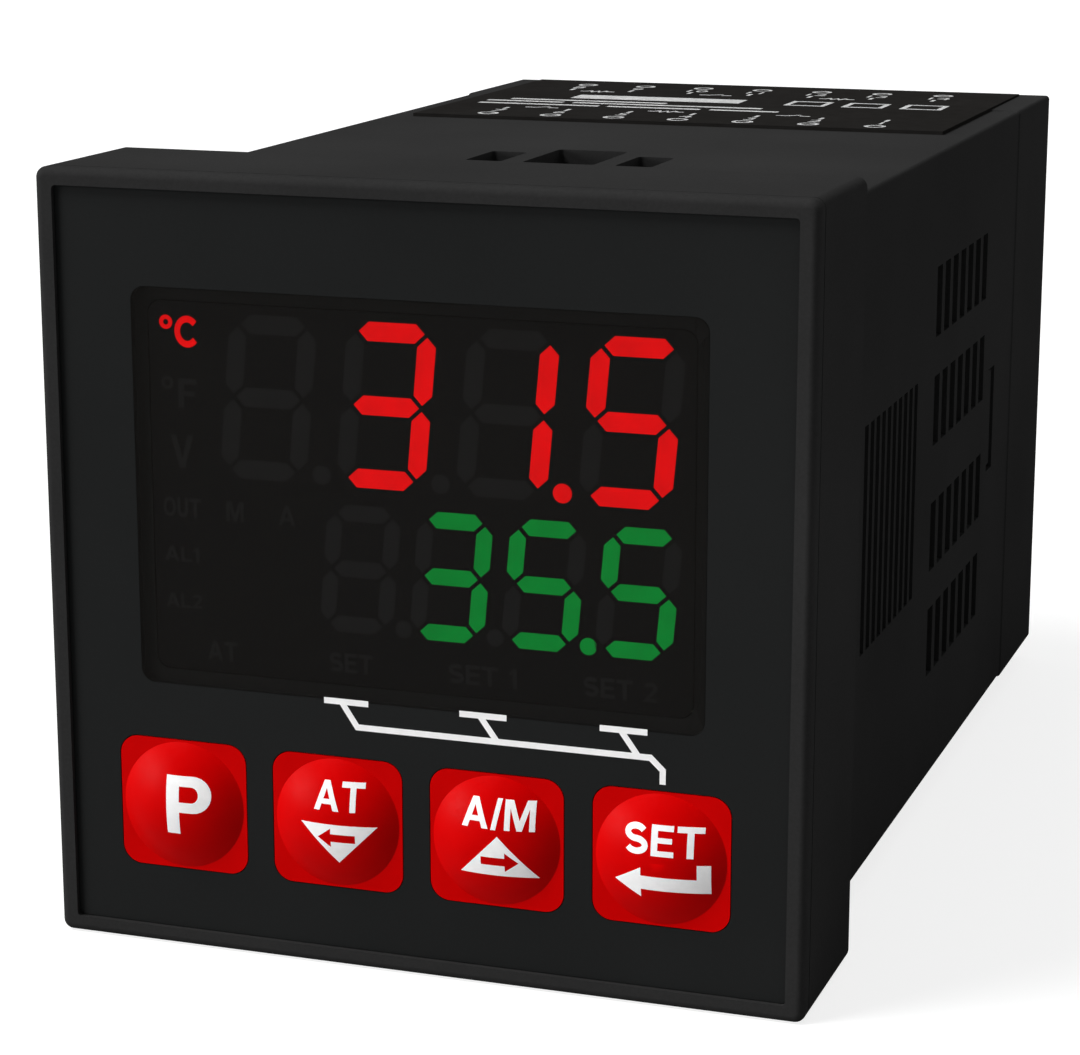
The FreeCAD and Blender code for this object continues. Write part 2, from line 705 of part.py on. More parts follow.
# Slots in both side walls: four rows of short ones, one row of louvres and the latch window of the rear cover.
def addVents(body):
    slots = sketchAcross("x", "0", body, "vent_outlines")
    for level in ("inner_vent_z", "outer_vent_z"):
        for row in (-1, 1):
            rectangle(slots, "vent_width", "vent_height", "vent_start + vent_width / 2", f"{row} * {level}")
    step = throughBothSides(body, "first_vents", slots)
    repeatAlong(body, "vents", [step], "Y_Axis", "(vent_columns - 1) * vent_pitch", "vent_columns")
    louvre = sketchAcross("x", "0", body, "louvre_outline")
    rectangle(louvre, "louvre_width", "louvre_height", "louvre_start + louvre_width / 2")
    step = throughBothSides(body, "first_louvre", louvre)
    repeatAlong(body, "louvres", [step], "Y_Axis", "(louvre_count - 1) * louvre_pitch", "louvre_count")
    window = sketchAcross("x", "0", body, "latch_window_outline")
    middle = "latch_window_start + latch_window_width / 2"
    rectangle(window, "latch_window_width", "latch_window_height", middle)
    throughBothSides(body, "latch_windows", window)


# ---- rear cover and terminals ----
def firstCell():
    return "0 - (cell_count - 1) / 2 * cell_pitch"


def repeatCells(body, name, steps):
    return repeatAlong(body, name, steps, "X_Axis", "(cell_count - 1) * cell_pitch", "cell_count")


def makeRearCover():
    body = newBody("rear_cover")
    root = sketchAcross("y", "body_length", body, "root_outline")
    roundedRectangle(root, "cover_width", "cover_width", "body_corner")
    rectangle(root, "spigot_inside", "spigot_inside")
    pad(body, "root", root, "spigot_root")
    spigot = sketchAcross("y", "spigot_front", body, "spigot_outline")
    rectangle(spigot, "spigot_outside", "spigot_outside")
    rectangle(spigot, "spigot_inside", "spigot_inside")
    pad(body, "spigot", spigot, "spigot_length")
    walls = sketchAcross("y", "body_length + spigot_root", body, "wall_outline")
    roundedRectangle(walls, "cover_width", "cover_width", "body_corner")
    rectangle(walls, "cover_width - 2 * cover_wall", "cover_width - 2 * cover_wall")
    pad(body, "walls", walls, "cover_plate - body_length - spigot_root")
    plate = sketchAcross("y", "cover_plate", body, "plate_outline")
    roundedRectangle(plate, "cover_width", "cover_width", "body_corner")
    pad(body, "plate", plate, "rear_face - cover_plate")
    addLatches(body)
    cells = sketchAcross("y", "rear_face", body, "cell_outlines")
    holes = sketchAcross("y", "rear_face", body, "hole_outlines")
    for row in (-1, 1):
        rectangle(cells, "cell_width", "cell_height", firstCell(), f"{row} * cell_z")
        circle(holes, "screw_well", firstCell(), f"{row} * screw_z")
        rectangle(holes, "wire_width", "wire_height", firstCell(), f"{row} * wire_z")
    first = pocket(body, "first_cells", cells, "cell_depth", positive=False)
    repeatCells(body, "cells", [first])
    first = pocket(body, "first_holes", holes, "rear_face - cover_plate", positive=False)
    repeatCells(body, "holes", [first])
    bevel = outerEdgeAt("body_length", "cover_width / 2 - body_corner - 0.05")
    chamfer(body, "seam_bevel", body.Tip, "seam_chamfer", bevel)


# A springy arm on each side reaches forward from the spigot, with a hook that stands in the housing's latch window.
def addLatches(body):
    start = "latch_window_start - latch_lead"
    arms = sketchAcross("y", start, body, "arm_outlines")
    hooks = sketchAcross("y", "latch_window_start + latch_play", body, "hook_outlines")
    for side in (-1, 1):
        middle = f"{side} * (spigot_outside - spigot_wall) / 2"
        rectangle(arms, "spigot_wall", "latch_width", middle)
        rectangle(hooks, "latch_hook", "latch_width", f"{side} * (spigot_outside + latch_hook) / 2")
    pad(body, "arms", arms, f"spigot_front - ({start})")
    pad(body, "hooks", hooks, "latch_window_width - 2 * latch_play")


def makeTerminalBlock(row, word):
    body = newBody(f"terminal_block_{word}")
    bar = sketchAcross("y", "block_front", body, "bar_outline")
    rectangle(bar, "block_width", "block_height", "0", f"{row} * cell_z")
    pad(body, "bar", bar, "cover_plate - block_front")
    chamber = sketchAcross("y", "cover_plate", body, "chamber_outline")
    rectangle(chamber, "chamber_width", "chamber_height", firstCell(), f"{row} * cell_z")
    first = pocket(body, "first_chamber", chamber, "chamber_depth", positive=False)
    repeatCells(body, "chambers", [first])


# Fourteen clamps: a plate on each chamber's floor, threaded for its screw, with a cage around the wire.
def makeTerminalClamps():
    body = newBody("terminal_clamps")
    plates = sketchAcross("y", "chamber_floor", body, "plate_outlines")
    cages = sketchAcross("y", "chamber_floor + clamp_plate", body, "cage_outlines")
    for row in (-1, 1):
        rectangle(plates, "cage_width", "chamber_height - 2 * cage_gap", firstCell(), f"{row} * cell_z")
        circle(plates, "screw_shank + 2 * screw_play", firstCell(), f"{row} * screw_z")
        rectangle(cages, "cage_width", "cage_height", firstCell(), f"{row} * wire_z")
        inner = "cage_width - 2 * cage_wall", "cage_height - 2 * cage_wall"
        rectangle(cages, *inner, firstCell(), f"{row} * wire_z")
    steps = [pad(body, "first_plates", plates, "clamp_plate")]
    steps.append(pad(body, "first_cages", cages, "cage_length"))
    repeatCells(body, "clamps", steps)


def makeTerminalScrews():
    body = newBody("terminal_screws")
    head = "(chamber_floor + screw_length)"
    shanks = sketchAcross("y", "chamber_floor + screw_play", body, "shank_outlines")
    heads = sketchAcross("y", f"{head} - screw_head_height", body, "head_outlines")
    slots = sketchAcross("y", head, body, "slot_outlines")
    for row in (-1, 1):
        circle(shanks, "screw_shank", firstCell(), f"{row} * screw_z")
        circle(heads, "screw_head", firstCell(), f"{row} * screw_z")
        rectangle(slots, "2 * screw_head", "screw_slot", firstCell(), f"{row} * screw_z")
    steps = [pad(body, "first_shanks", shanks, "screw_length - screw_head_height - screw_play")]
    steps.append(pad(body, "first_heads", heads, "screw_head_height"))
    steps.append(pocket(body, "first_slots", slots, "screw_slot_depth", positive=False))
    repeatCells(body, "screws", steps)


# ---- circuit boards ----
def makeDisplayBoard():
    body = newBody("display_board")
    board = sketchAcross("y", "board_front", body, "board_outline")
    width = "flange_inside - 2 * display_board_margin"
    rectangle(board, width, width)
    pad(body, "board", board, "board_thick")


# A side board stands between its guide ribs, and its narrower tail goes through the rear cover's spigot.
def makeSideBoard(side, label):
    body = newBody(label)
    start, shoulder = "board_back + board_end_gap", "spigot_front - board_shoulder"
    high, low = "body_inside / 2 - board_gap", "spigot_inside / 2 - board_gap"
    corners = [(start, f"0 - ({high})"), (shoulder, f"0 - ({high})"), (shoulder, f"0 - ({low})")]
    corners += [("side_board_end", f"0 - ({low})"), ("side_board_end", low)]
    corners += [(shoulder, low), (shoulder, high), (start, high)]
    board = sketchAcross("x", f"{side} * board_inner", body, "board_outline")
    outline(board, corners)
    pad(body, "board", board, "board_thick", positive=side > 0)


def makeTerminalBoard():
    body = newBody("terminal_board")
    board = sketchAcross("y", "terminal_board_front", body, "board_outline")
    width = "spigot_inside - 2 * board_gap"
    rectangle(board, width, width)
    pad(body, "board", board, "board_thick")


def makeHeader(side, label):
    body = newBody(label)
    header = sketchAcross("y", "board_back", body, "header_outline")
    across = f"{side} * (board_inner - header_width / 2)"
    rectangle(header, "header_width", "header_length", across)
    pad(body, "header", header, "header_depth")


# The ferrite core lies flat on the power board; its two windows hold the winding around the middle leg.
def makeTransformer():
    body = newBody("transformer_core")
    middle = "board_inner - core_width / 2"
    window = "(core_width - core_leg) / 2 - core_yoke"
    core = sketchAcross("z", "0 - core_thick / 2", body, "core_outline")
    rectangle(core, "core_width", "core_length", middle, "core_y")
    for side in (-1, 1):
        across = f"{middle} + {side} * (core_leg + {window}) / 2"
        rectangle(core, window, "core_length - 2 * core_yoke", across, "core_y")
    pad(body, "core", core, "core_thick")
    winding = newBody("transformer_winding")
    length = "(core_length - 2 * core_yoke - 2 * winding_gap)"
    turns = sketchAcross("y", f"core_y - {length} / 2", winding, "turn_outline")
    width = f"core_leg + 2 * ({window}) - 2 * winding_gap"
    height = "core_thick + 2 * winding_bulge"
    roundedRectangle(turns, width, height, "winding_corner", middle)
    rectangle(turns, "core_leg + 2 * winding_gap", "core_thick + 2 * winding_gap", middle)
    pad(winding, "turns", turns, length)


def makeRelay(side, label):
    relay = doc.addObject("Part::Box", label)
    relay.Label = label
    bind(relay, "Length", "relay_height")
    bind(relay, "Width", "relay_length")
    bind(relay, "Height", "relay_width")
    level = f"{side} * relay_spacing / 2 - relay_width / 2"
    place(relay, "0 - board_inner", "relay_y - relay_length / 2", level)
    nodes.append(relay)


# An electrolytic can lies across the body with its foot on the power board and a rolled groove near the foot.
def makeCan(word):
    body = newBody(f"{word}_capacitor")
    half, length = f"{word}_can_diameter / 2", f"{word}_can_length"
    near, far = "board_inner - can_groove_place", "board_inner - can_groove_place - 2 * can_groove"
    section = sketchAcross("z", f"{word}_can_z", body, "can_section")
    corners = [("board_inner", "can_y"), ("board_inner", f"can_y + {half}"), (near, f"can_y + {half}")]
    corners += [(f"{near} - can_groove", f"can_y + {half} - can_groove"), (far, f"can_y + {half}")]
    corners += [(f"board_inner - {length}", f"can_y + {half}"), (f"board_inner - {length}", "can_y")]
    outline(section, corners)
    can = body.newObject("PartDesign::Revolution", "can")
    can.Profile = section
    can.ReferenceAxis = (section, [f"Edge{len(corners)}"])
    can.Angle = 360


def makeChip():
    chip = doc.addObject("Part::Box", "controller_chip")
    chip.Label = "controller_chip"
    bind(chip, "Length", "chip_height")
    bind(chip, "Width", "chip_width")
    bind(chip, "Height", "chip_width")
    place(chip, "0 - board_inner", "chip_y - chip_width / 2", "0 - chip_width / 2")
    nodes.append(chip)


# A sticker on the top face; the rear cover stands a little proud, so the sticker is thinner over it.
def makeLabel():
    body = newBody("wiring_label")
    section = sketchAcross("x", "0 - label_width / 2", body, "label_section")
    end, top = "label_start + label_length", "cover_width / 2 + label_thick"
    corners = [("label_start", "body_width / 2"), ("body_length", "body_width / 2")]
    corners += [("body_length", "cover_width / 2"), (end, "cover_width / 2"), (end, top), ("label_start", top)]
    outline(section, corners)
    pad(body, "sticker", section, "label_width")


def checkShapes():
    for item in doc.Objects:
        if "Invalid" in item.State or "Error" in item.State:
            raise RuntimeError(f"{item.Label} did not rebuild: {item.State}")
    for node in nodes:
        if node.Shape.isNull() or not node.Shape.isValid():
            raise RuntimeError(f"{node.Label} has no valid shape")


def exportNodes():
    os.makedirs("parts", exist_ok=True)
    for node in nodes:
        node.Shape.exportStep(f"parts/{node.Label}.step")
        print(f"{node.Label}: {node.Shape.Volume:.1f} mm3, {len(node.Shape.Solids)} solids")


fillSheet()
makeHousing()
makeFrontBezel()
makeFrontOverlay()
makeDisplayWindow()
makeDisplayModule([makeDigits("red"), makeDigits("green")])
for keyIndex, keyName in enumerate(keyNames):
    makeKeyCap(keyIndex, keyName)
    makeSwitchPlunger(keyIndex, keyName)
    makeSwitchBase(keyIndex, keyName)
makeDisplayBoard()
makeSideBoard(-1, "control_board")
makeSideBoard(1, "power_board")
makeTerminalBoard()
makeHeader(-1, "header_left")
makeHeader(1, "header_right")
makeTransformer()
makeRelay(1, "output_relay")
makeRelay(-1, "alarm_relay")
makeCan("input")
makeCan("output")
makeChip()
makeTerminalBlock(1, "top")
makeTerminalBlock(-1, "bottom")
makeTerminalClamps()
makeTerminalScrews()
makeRearCover()
makeLabel()
doc.recompute()
checkShapes()
exportNodes()
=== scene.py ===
import math

import bpy
import bmesh
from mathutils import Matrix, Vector


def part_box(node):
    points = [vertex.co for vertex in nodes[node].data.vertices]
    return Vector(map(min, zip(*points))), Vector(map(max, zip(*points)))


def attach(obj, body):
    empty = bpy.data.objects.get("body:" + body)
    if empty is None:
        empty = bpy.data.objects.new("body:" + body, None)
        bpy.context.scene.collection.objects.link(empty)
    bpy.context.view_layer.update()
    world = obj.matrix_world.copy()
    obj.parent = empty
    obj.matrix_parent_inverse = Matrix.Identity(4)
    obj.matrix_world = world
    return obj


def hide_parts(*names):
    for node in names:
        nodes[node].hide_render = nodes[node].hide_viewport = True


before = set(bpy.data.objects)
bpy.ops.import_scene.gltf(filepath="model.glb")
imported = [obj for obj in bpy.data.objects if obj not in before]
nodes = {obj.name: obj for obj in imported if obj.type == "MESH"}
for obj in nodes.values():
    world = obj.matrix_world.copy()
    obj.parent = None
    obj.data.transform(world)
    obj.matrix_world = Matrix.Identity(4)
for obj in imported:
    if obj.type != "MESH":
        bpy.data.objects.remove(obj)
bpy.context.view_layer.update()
mm = 0.001


# shader helpers: a wrapped socket with maths on it, and a finish that holds the node tree
class Wire:
    def __init__(self, finish, socket):
        self.finish = finish
        self.socket = socket

    def maths(self, operation, first, second):
        return self.finish.node("ShaderNodeMath", {"operation": operation}, {0: first, 1: second})

    def most(self, other):
        return self.maths("MAXIMUM", self, other)

    def __add__(self, other):
        return self.maths("ADD", self, other)

    def __sub__(self, other):
        return self.maths("SUBTRACT", self, other)

    def __rsub__(self, other):
        return self.maths("SUBTRACT", other, self)

    def __mul__(self, other):
        return self.maths("MULTIPLY", self, other)

    def __gt__(self, other):
        return self.maths("GREATER_THAN", self, other)

    def __lt__(self, other):
        return self.maths("LESS_THAN", self, other)

    __radd__ = __add__
    __rmul__ = __mul__


class Finish:
    def __init__(self, name, holder=None):
        self.material = holder or bpy.data.materials.new(name)
        self.material.use_nodes = True
        self.tree = self.material.node_tree
        self.tree.nodes.clear()
        self.place = self.node("ShaderNodeTexCoord", out="Object")

    def node(self, kind, settings=None, sockets=None, out=0):
        made = self.tree.nodes.new(kind)
        for key, chosen in (settings or {}).items():
            setattr(made, key, chosen)
        for key, given in (sockets or {}).items():
            if isinstance(given, Wire):
                self.tree.links.new(given.socket, made.inputs[key])
            else:
                made.inputs[key].default_value = given
        return Wire(self, made.outputs[out]) if made.outputs else made

    def noise(self, scale, detail=3.0, stretch=(1, 1, 1)):
        place = self.node("ShaderNodeMapping", {}, {"Vector": self.place, "Scale": stretch})
        return self.node("ShaderNodeTexNoise", {}, {"Vector": place, "Scale": scale, "Detail": detail})

    def wave(self, direction, scale, distortion):
        sockets = {"Vector": self.place, "Scale": scale, "Distortion": distortion}
        return self.node("ShaderNodeTexWave", {"bands_direction": direction}, sockets)

    def between(self, wire, low, high, toLow, toHigh):
        return self.node("ShaderNodeMapRange", {}, {0: wire, 1: low, 2: high, 3: toLow, 4: toHigh})

    def mix(self, factor, first, second):
        return self.node("ShaderNodeMix", {"data_type": "RGBA"}, {0: factor, 6: first, 7: second}, out=2)

    def axis(self, letter):
        return self.node("ShaderNodeSeparateXYZ", {}, {0: self.place}, out=letter)

    def seen(self):  # 1 for the rays that show the backdrop
        kinds = ("Is Camera Ray", "Is Glossy Ray", "Is Transmission Ray")
        camera, glossy, through = [self.node("ShaderNodeLightPath", out=kind) for kind in kinds]
        return camera.most(glossy).most(through)

    def bump(self, height, strength, depth, over=None):  # depth in mm, over another bump
        sockets = {"Height": height, "Strength": strength, "Distance": depth * mm}
        if over:
            sockets["Normal"] = over
        return self.node("ShaderNodeBump", {}, sockets)

    def shader(self, colour, roughness, gloss, sockets):
        given = {"Base Color": colour, "Roughness": roughness, "Specular IOR Level": gloss, **sockets}
        made = self.node("ShaderNodeBsdfPrincipled", {}, given)
        self.node("ShaderNodeOutputMaterial", {}, {"Surface": made})
        return self.material


def tone(red, green, blue):  # a screen colour, 0 to 255, as linear light
    def linear(level):
        level /= 255
        return level / 12.92 if level <= 0.04045 else ((level + 0.055) / 1.055) ** 2.4
    return (linear(red), linear(green), linear(blue), 1.0)


# where the values of a cloud and of a grain mostly lie
cloudRange = (0.35, 0.65)
grainRange = (0.3, 0.7)

# plastics and films: a soft cloud and a fine grain between two tones
# each look below gives only what differs from the plain one
plainPlastic = {"cloud": 120.0, "cloudDetail": 3.0, "cloudShare": 0.5, "grain": 2400.0,
                "roughness": 0.5, "smoother": 0.05, "rougher": 0.06,
                "bump": 0.25, "depth": 0.02, "gloss": 0.12}
housingLook = {"dark": tone(43, 43, 43), "pale": tone(49, 49, 49),
               "roughness": 0.7, "rougher": 0.08, "gloss": 0.0,
               "cloud": 60.0, "cloudDetail": 4.0, "cloudShare": 0.6, "grain": 5200.0}
overlayLook = {"dark": tone(29, 30, 30), "pale": tone(33, 34, 34),
               "roughness": 0.55, "smoother": 0.04, "gloss": 0.02,
               "cloud": 45.0, "cloudShare": 0.7, "grain": 5200.0, "bump": 0.2, "depth": 0.01}
labelLook = {"dark": tone(30, 29, 28), "pale": tone(35, 34, 33),
             "roughness": 0.4, "grain": 900.0, "gloss": 0.0}
plungerLook = {"dark": tone(40, 40, 42), "pale": tone(52, 52, 54)}
switchLook = {"dark": tone(24, 24, 25), "pale": tone(34, 34, 35)}
terminalLook = {"dark": tone(30, 31, 32), "pale": tone(42, 43, 44)}
chipLook = {"dark": tone(22, 22, 22), "pale": tone(32, 32, 33), "roughness": 0.6}
relayLook = {"dark": tone(30, 62, 120), "pale": tone(38, 74, 138), "roughness": 0.4}
ferriteLook = {"dark": tone(46, 46, 48), "pale": tone(66, 66, 68), "roughness": 0.7, "grain": 900.0}


def plastic(name, changes):
    look = dict(plainPlastic, **changes)
    paint = Finish(name)
    cloud = paint.noise(look["cloud"], look["cloudDetail"])
    grain = paint.noise(look["grain"], 2.0)
    patches = cloud * look["cloudShare"] + grain * (1 - look["cloudShare"])
    colour = paint.mix(paint.between(patches, *cloudRange, 0.0, 1.0), look["dark"], look["pale"])
    smoothest, roughest = look["roughness"] - look["smoother"], look["roughness"] + look["rougher"]
    roughness = paint.between(grain, *grainRange, smoothest, roughest)
    normal = paint.bump(grain, look["bump"], look["depth"])
    return paint.shader(colour, roughness, look["gloss"], {"Normal": normal})


# the smoked window: its tint is a film on the front face, so that light passes only one tinted face
windowLook = {"pale": tone(29, 28, 26), "dark": tone(26, 25, 24), "tint": 0.6, "film": 0.1, "haze": 90.0,
              "roughness": (0.16, 0.24), "gloss": 0.02}


def windowTint():
    paint = Finish("window tint")
    haze = paint.noise(windowLook["haze"], 3.0)
    roughness = paint.between(haze, *grainRange, *windowLook["roughness"])
    colour = paint.mix(haze, windowLook["dark"], windowLook["pale"])
    front = paint.axis("Y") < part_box("display_window")[0].y + windowLook["film"] * mm
    return paint.shader(colour, roughness, windowLook["gloss"], {"Alpha": front * windowLook["tint"]})


# the display behind the window, with lit and unlit segments
displayLook = {"face": (tone(14, 13, 13), tone(18, 17, 17)), "unlit": (tone(45, 45, 45), tone(49, 49, 50)),
               "red": tone(255, 0, 6), "green": tone(0, 139, 50),
               "glow": 1.72, "dimmed": 0.16, "resin": 0.15,
               "faceGrain": 3000.0, "unlitCloud": 900.0, "litCloud": 700.0,
               "faceRoughness": 0.75, "roughness": 0.6, "gloss": 0.1}


def displayBlack():
    paint = Finish("display face")
    grain = paint.noise(displayLook["faceGrain"], 2.0)
    colour = paint.mix(grain, *displayLook["face"])
    normal = paint.bump(grain, 0.2, 0.01)
    return paint.shader(colour, displayLook["faceRoughness"], displayLook["gloss"], {"Normal": normal})


def unlitSegment():
    paint = Finish("unlit segment")
    colour = paint.mix(paint.noise(displayLook["unlitCloud"], 2.0), *displayLook["unlit"])
    return paint.shader(colour, displayLook["roughness"], displayLook["gloss"], {})


def litSegment(name, colour):
    paint = Finish(name)
    cloud = paint.noise(displayLook["litCloud"], 2.0)
    dimming = paint.between(cloud, *grainRange, 0.0, displayLook["dimmed"])
    light = paint.mix(dimming, colour, tone(0, 0, 0))
    resin = tuple(level * displayLook["resin"] for level in colour[:3]) + (1.0,)
    sockets = {"Emission Color": light, "Emission Strength": displayLook["glow"]}
    return paint.shader(resin, displayLook["roughness"], displayLook["gloss"], sockets)


# the red of the keys, each with a round dome on a square foot
keyNames = ("program", "down", "up", "set")
keyMiddles = {key: sum(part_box("key_" + key), Vector()) / 2 for key in keyNames}
keyDomes = {"width": 8.0, "height": 0.9}
keyLook = {"red": tone(203, 1, 2), "deep": tone(195, 0, 1), "roughness": (0.31, 0.41), "gloss": 0.022,
           "cloud": 260.0, "grain": 3000.0, "bump": 0.12, "depth": 0.01, "swell": 0.32}


def keyRed():
    paint = Finish("key red")
    cloud = paint.noise(keyLook["cloud"], 3.0)
    grain = paint.noise(keyLook["grain"], 2.0)
    colour = paint.mix(paint.between(cloud, *cloudRange, 0.0, 1.0), keyLook["red"], keyLook["deep"])
    roughness = paint.between(grain, *grainRange, *keyLook["roughness"])
    first = keyMiddles["program"]
    halfPitch = (keyMiddles["down"].x - first.x) / 2
    sockets = {0: paint.axis("X") - first.x, 1: halfPitch, 2: -halfPitch}
    across = paint.node("ShaderNodeMath", {"operation": "WRAP"}, sockets)
    upward = paint.axis("Z") - first.z
    radius = keyDomes["width"] / 2 * mm
    swell = 1 - (across * across + upward * upward) * (1 / radius ** 2)
    dome = paint.bump(swell.most(0.0), 1.0, keyLook["swell"])  # makes the moulded dome read as rounder
    normal = paint.bump(grain, keyLook["bump"], keyLook["depth"], dome)
    return paint.shader(colour, roughness, keyLook["gloss"], {"Normal": normal})


# flat print
inkLook = {"patches": 1800.0, "bump": 0.1, "depth": 0.01, "roughness": 0.6, "gloss": 0.1}
inkTones = {
    "white": (tone(254, 254, 254), tone(248, 248, 248)),
    "dim": (tone(50, 50, 50), tone(46, 46, 46)),
    "label": (tone(168, 168, 168), tone(142, 142, 142)),
}


def ink(name):
    paint = Finish(name + " ink")
    patches = paint.noise(inkLook["patches"], 3.0)
    colour = paint.mix(paint.between(patches, 0.35, 0.7, 0.0, 1.0), *inkTones[name])
    normal = paint.bump(patches, inkLook["bump"], inkLook["depth"])
    return paint.shader(colour, inkLook["roughness"], inkLook["gloss"], {"Normal": normal})


# the circuit boards and what stands on them
plainGloss = 0.5
boardLook = {"green": tone(16, 74, 38), "track": tone(34, 104, 56), "pad": tone(176, 172, 150),
             "cells": 420.0, "padSize": 0.12, "tracks": 160.0, "trackFrom": 0.72, "roughness": 0.38}
tapeLook = {"dark": tone(196, 150, 40), "pale": tone(226, 184, 66), "laps": 300.0, "roughness": 0.4}
metalLook = {"brush": 1500.0, "tarnish": 350.0, "smoother": 0.08, "rougher": 0.12}
canLook = {"bright": tone(200, 202, 206), "dull": tone(160, 163, 168), "roughness": 0.35}
brassLook = {"bright": tone(206, 200, 184), "dull": tone(168, 160, 140), "roughness": 0.38}
steelLook = {"bright": tone(210, 212, 214), "dull": tone(160, 162, 166), "roughness": 0.32}


def boardGreen():
    paint = Finish("board green")
    sockets = {"Vector": paint.place, "Scale": boardLook["cells"]}
    cells = paint.node("ShaderNodeTexVoronoi", {"distance": "CHEBYCHEV"}, sockets)
    tracks = paint.wave("DIAGONAL", boardLook["tracks"], 3.0)
    copper = paint.mix(tracks > boardLook["trackFrom"], boardLook["green"], boardLook["track"])
    colour = paint.mix(cells < boardLook["padSize"], copper, boardLook["pad"])
    normal = paint.bump(tracks, 0.3, 0.03)
    return paint.shader(colour, boardLook["roughness"], plainGloss, {"Normal": normal})


def windingTape():
    paint = Finish("winding tape")
    laps = paint.wave("X", tapeLook["laps"], 0.4)
    colour = paint.mix(laps, tapeLook["dark"], tapeLook["pale"])
    return paint.shader(colour, tapeLook["roughness"], plainGloss, {"Normal": paint.bump(laps, 0.4, 0.04)})


def platedMetal(name, look):
    paint = Finish(name)
    brushed = paint.noise(metalLook["brush"], 3.0, (1, 0.15, 1))
    tarnish = paint.noise(metalLook["tarnish"], 3.0)
    colour = paint.mix(paint.between(tarnish, 0.4, 0.7, 0.0, 1.0), look["bright"], look["dull"])
    smoothest, roughest = look["roughness"] - metalLook["smoother"], look["roughness"] + metalLook["rougher"]
    roughness = paint.between(brushed, *grainRange, smoothest, roughest)
    normal = paint.bump(brushed, 0.15, 0.02)
    return paint.shader(colour, roughness, plainGloss, {"Metallic": 1.0, "Normal": normal})


finishes = {
    "housing_plastic": plastic("housing plastic", housingLook),
    "overlay_film": plastic("overlay film", overlayLook),
    "window_tint": windowTint(),
    "display_black": displayBlack(),
    "red_segments": unlitSegment(),
    "key_red": keyRed(),
    "plunger_plastic": plastic("plunger plastic", plungerLook),
    "switch_body": plastic("switch body", switchLook),
    "board_green": boardGreen(),
    "black_plastic": plastic("chip plastic", chipLook),
    "ferrite": plastic("ferrite", ferriteLook),
    "winding_tape": windingTape(),
    "relay_case": plastic("relay case", relayLook),
    "can_metal": platedMetal("can metal", canLook),
    "terminal_plastic": plastic("terminal plastic", terminalLook),
    "plated_brass": platedMetal("plated brass", brassLook),
    "plated_steel": platedMetal("plated steel", steelLook),
    "label_film": plastic("label film", labelLook),
}
finishes["green_segments"] = finishes["red_segments"]
litRed = litSegment("lit red", displayLook["red"])
litGreen = litSegment("lit green", displayLook["green"])
whiteInk, dimInk, labelInk = ink("white"), ink("dim"), ink("label")
for node in nodes.values():
    node.data.materials[0] = finishes[node.data.materials[0].name.split(".")[0]]
print("finishes on", len(nodes), "nodes")


# the lit and unlit segments of the two digit rows
digitRows = {
    "red_digits": {"pitch": 7.5, "width": 4.46, "half": 4.39, "stroke": 1.15, "point": 3.75,
                   "shows": " 31.5", "lit": litRed},
    "green_digits": {"pitch": 5.75, "width": 3.69, "half": 3.41, "stroke": 1.0, "point": 3.04,
                     "shows": " 35.5", "lit": litGreen},
}
digitLean = 0.091
pointRoom = 0.6  # half of what the point takes up at a digit's right
# the bars of a digit: b, m, t across; e, a left and c, d right, lower then upper
litBars = {" ": "", "3": "bmtcd", "1": "cd", "5": "bmtac"}


def barDistance(x, z, start, end):
    along = Vector(end) - Vector(start)
    reach = Vector((x, z)) - Vector(start)
    share = min(max(reach.dot(along) / along.length_squared, 0.12), 0.88)
    return (reach - along * share).length


def litInEach(shows):  # the lit bars of each digit, with a point on the digit before it
    shown = []
    for letter in shows:
        if letter == ".":
            shown[-1] += "."
        else:
            shown.append(litBars[letter])
    return shown


def lightDigits(name, row):
    low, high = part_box(name)
    middleX = (low.x + high.x) / 2 / mm
    middleZ = high.z / mm - row["stroke"] / 2 - row["half"]
    side, half, point = row["width"] / 2, row["half"], row["point"]
    bars = {
        "b": ((-side, -half), (side, -half)), "m": ((-side, 0), (side, 0)),
        "t": ((-side, half), (side, half)),
        "e": ((-side, -half), (-side, 0)), "a": ((-side, 0), (-side, half)),
        "c": ((side, -half), (side, 0)), "d": ((side, 0), (side, half)),
        ".": ((point - 0.05, -half), (point + 0.05, -half)),
    }
    shown = litInEach(row["shows"])
    mesh = nodes[name].data
    mesh.materials.append(row["lit"])
    for face in mesh.polygons:
        z = face.center.z / mm - middleZ
        x = face.center.x / mm - middleX - z * digitLean
        digit = min(range(4), key=lambda number: abs(x - (number - 1.5) * row["pitch"] - pointRoom))
        x -= (digit - 1.5) * row["pitch"]
        nearest = min(bars, key=lambda bar: barDistance(x, z, *bars[bar]))
        face.material_index = 1 if nearest in shown[digit] else 0


for name, row in digitRows.items():
    lightDigits(name, row)
print("digits lit")


# objects and meshes
def addObject(name, shape):
    made = bpy.data.objects.new(name, shape)
    bpy.context.scene.collection.objects.link(made)
    return made


def plainMesh(holder):
    bpy.context.view_layer.update()
    return bpy.data.meshes.new_from_object(holder.evaluated_get(bpy.context.evaluated_depsgraph_get()))


def meshFrom(name, shape):
    mesh = bpy.data.meshes.new(name)
    shape.to_mesh(mesh)
    shape.free()
    return mesh


def smoothCurves(mesh):  # edges that turn more than 30 degrees stay sharp
    mesh.shade_smooth()
    mesh.set_sharp_from_angle(angle=math.radians(30))


# flat print: outlines with holes, laid on a surface and given a little thickness; sizes in mm
printSizes = {"sunk": 0.005, "join": 0.0005}


def meshOf(curve):
    holder = addObject("holder", curve)
    mesh = plainMesh(holder)
    bpy.data.objects.remove(holder)
    bpy.data.curves.remove(curve)
    return mesh


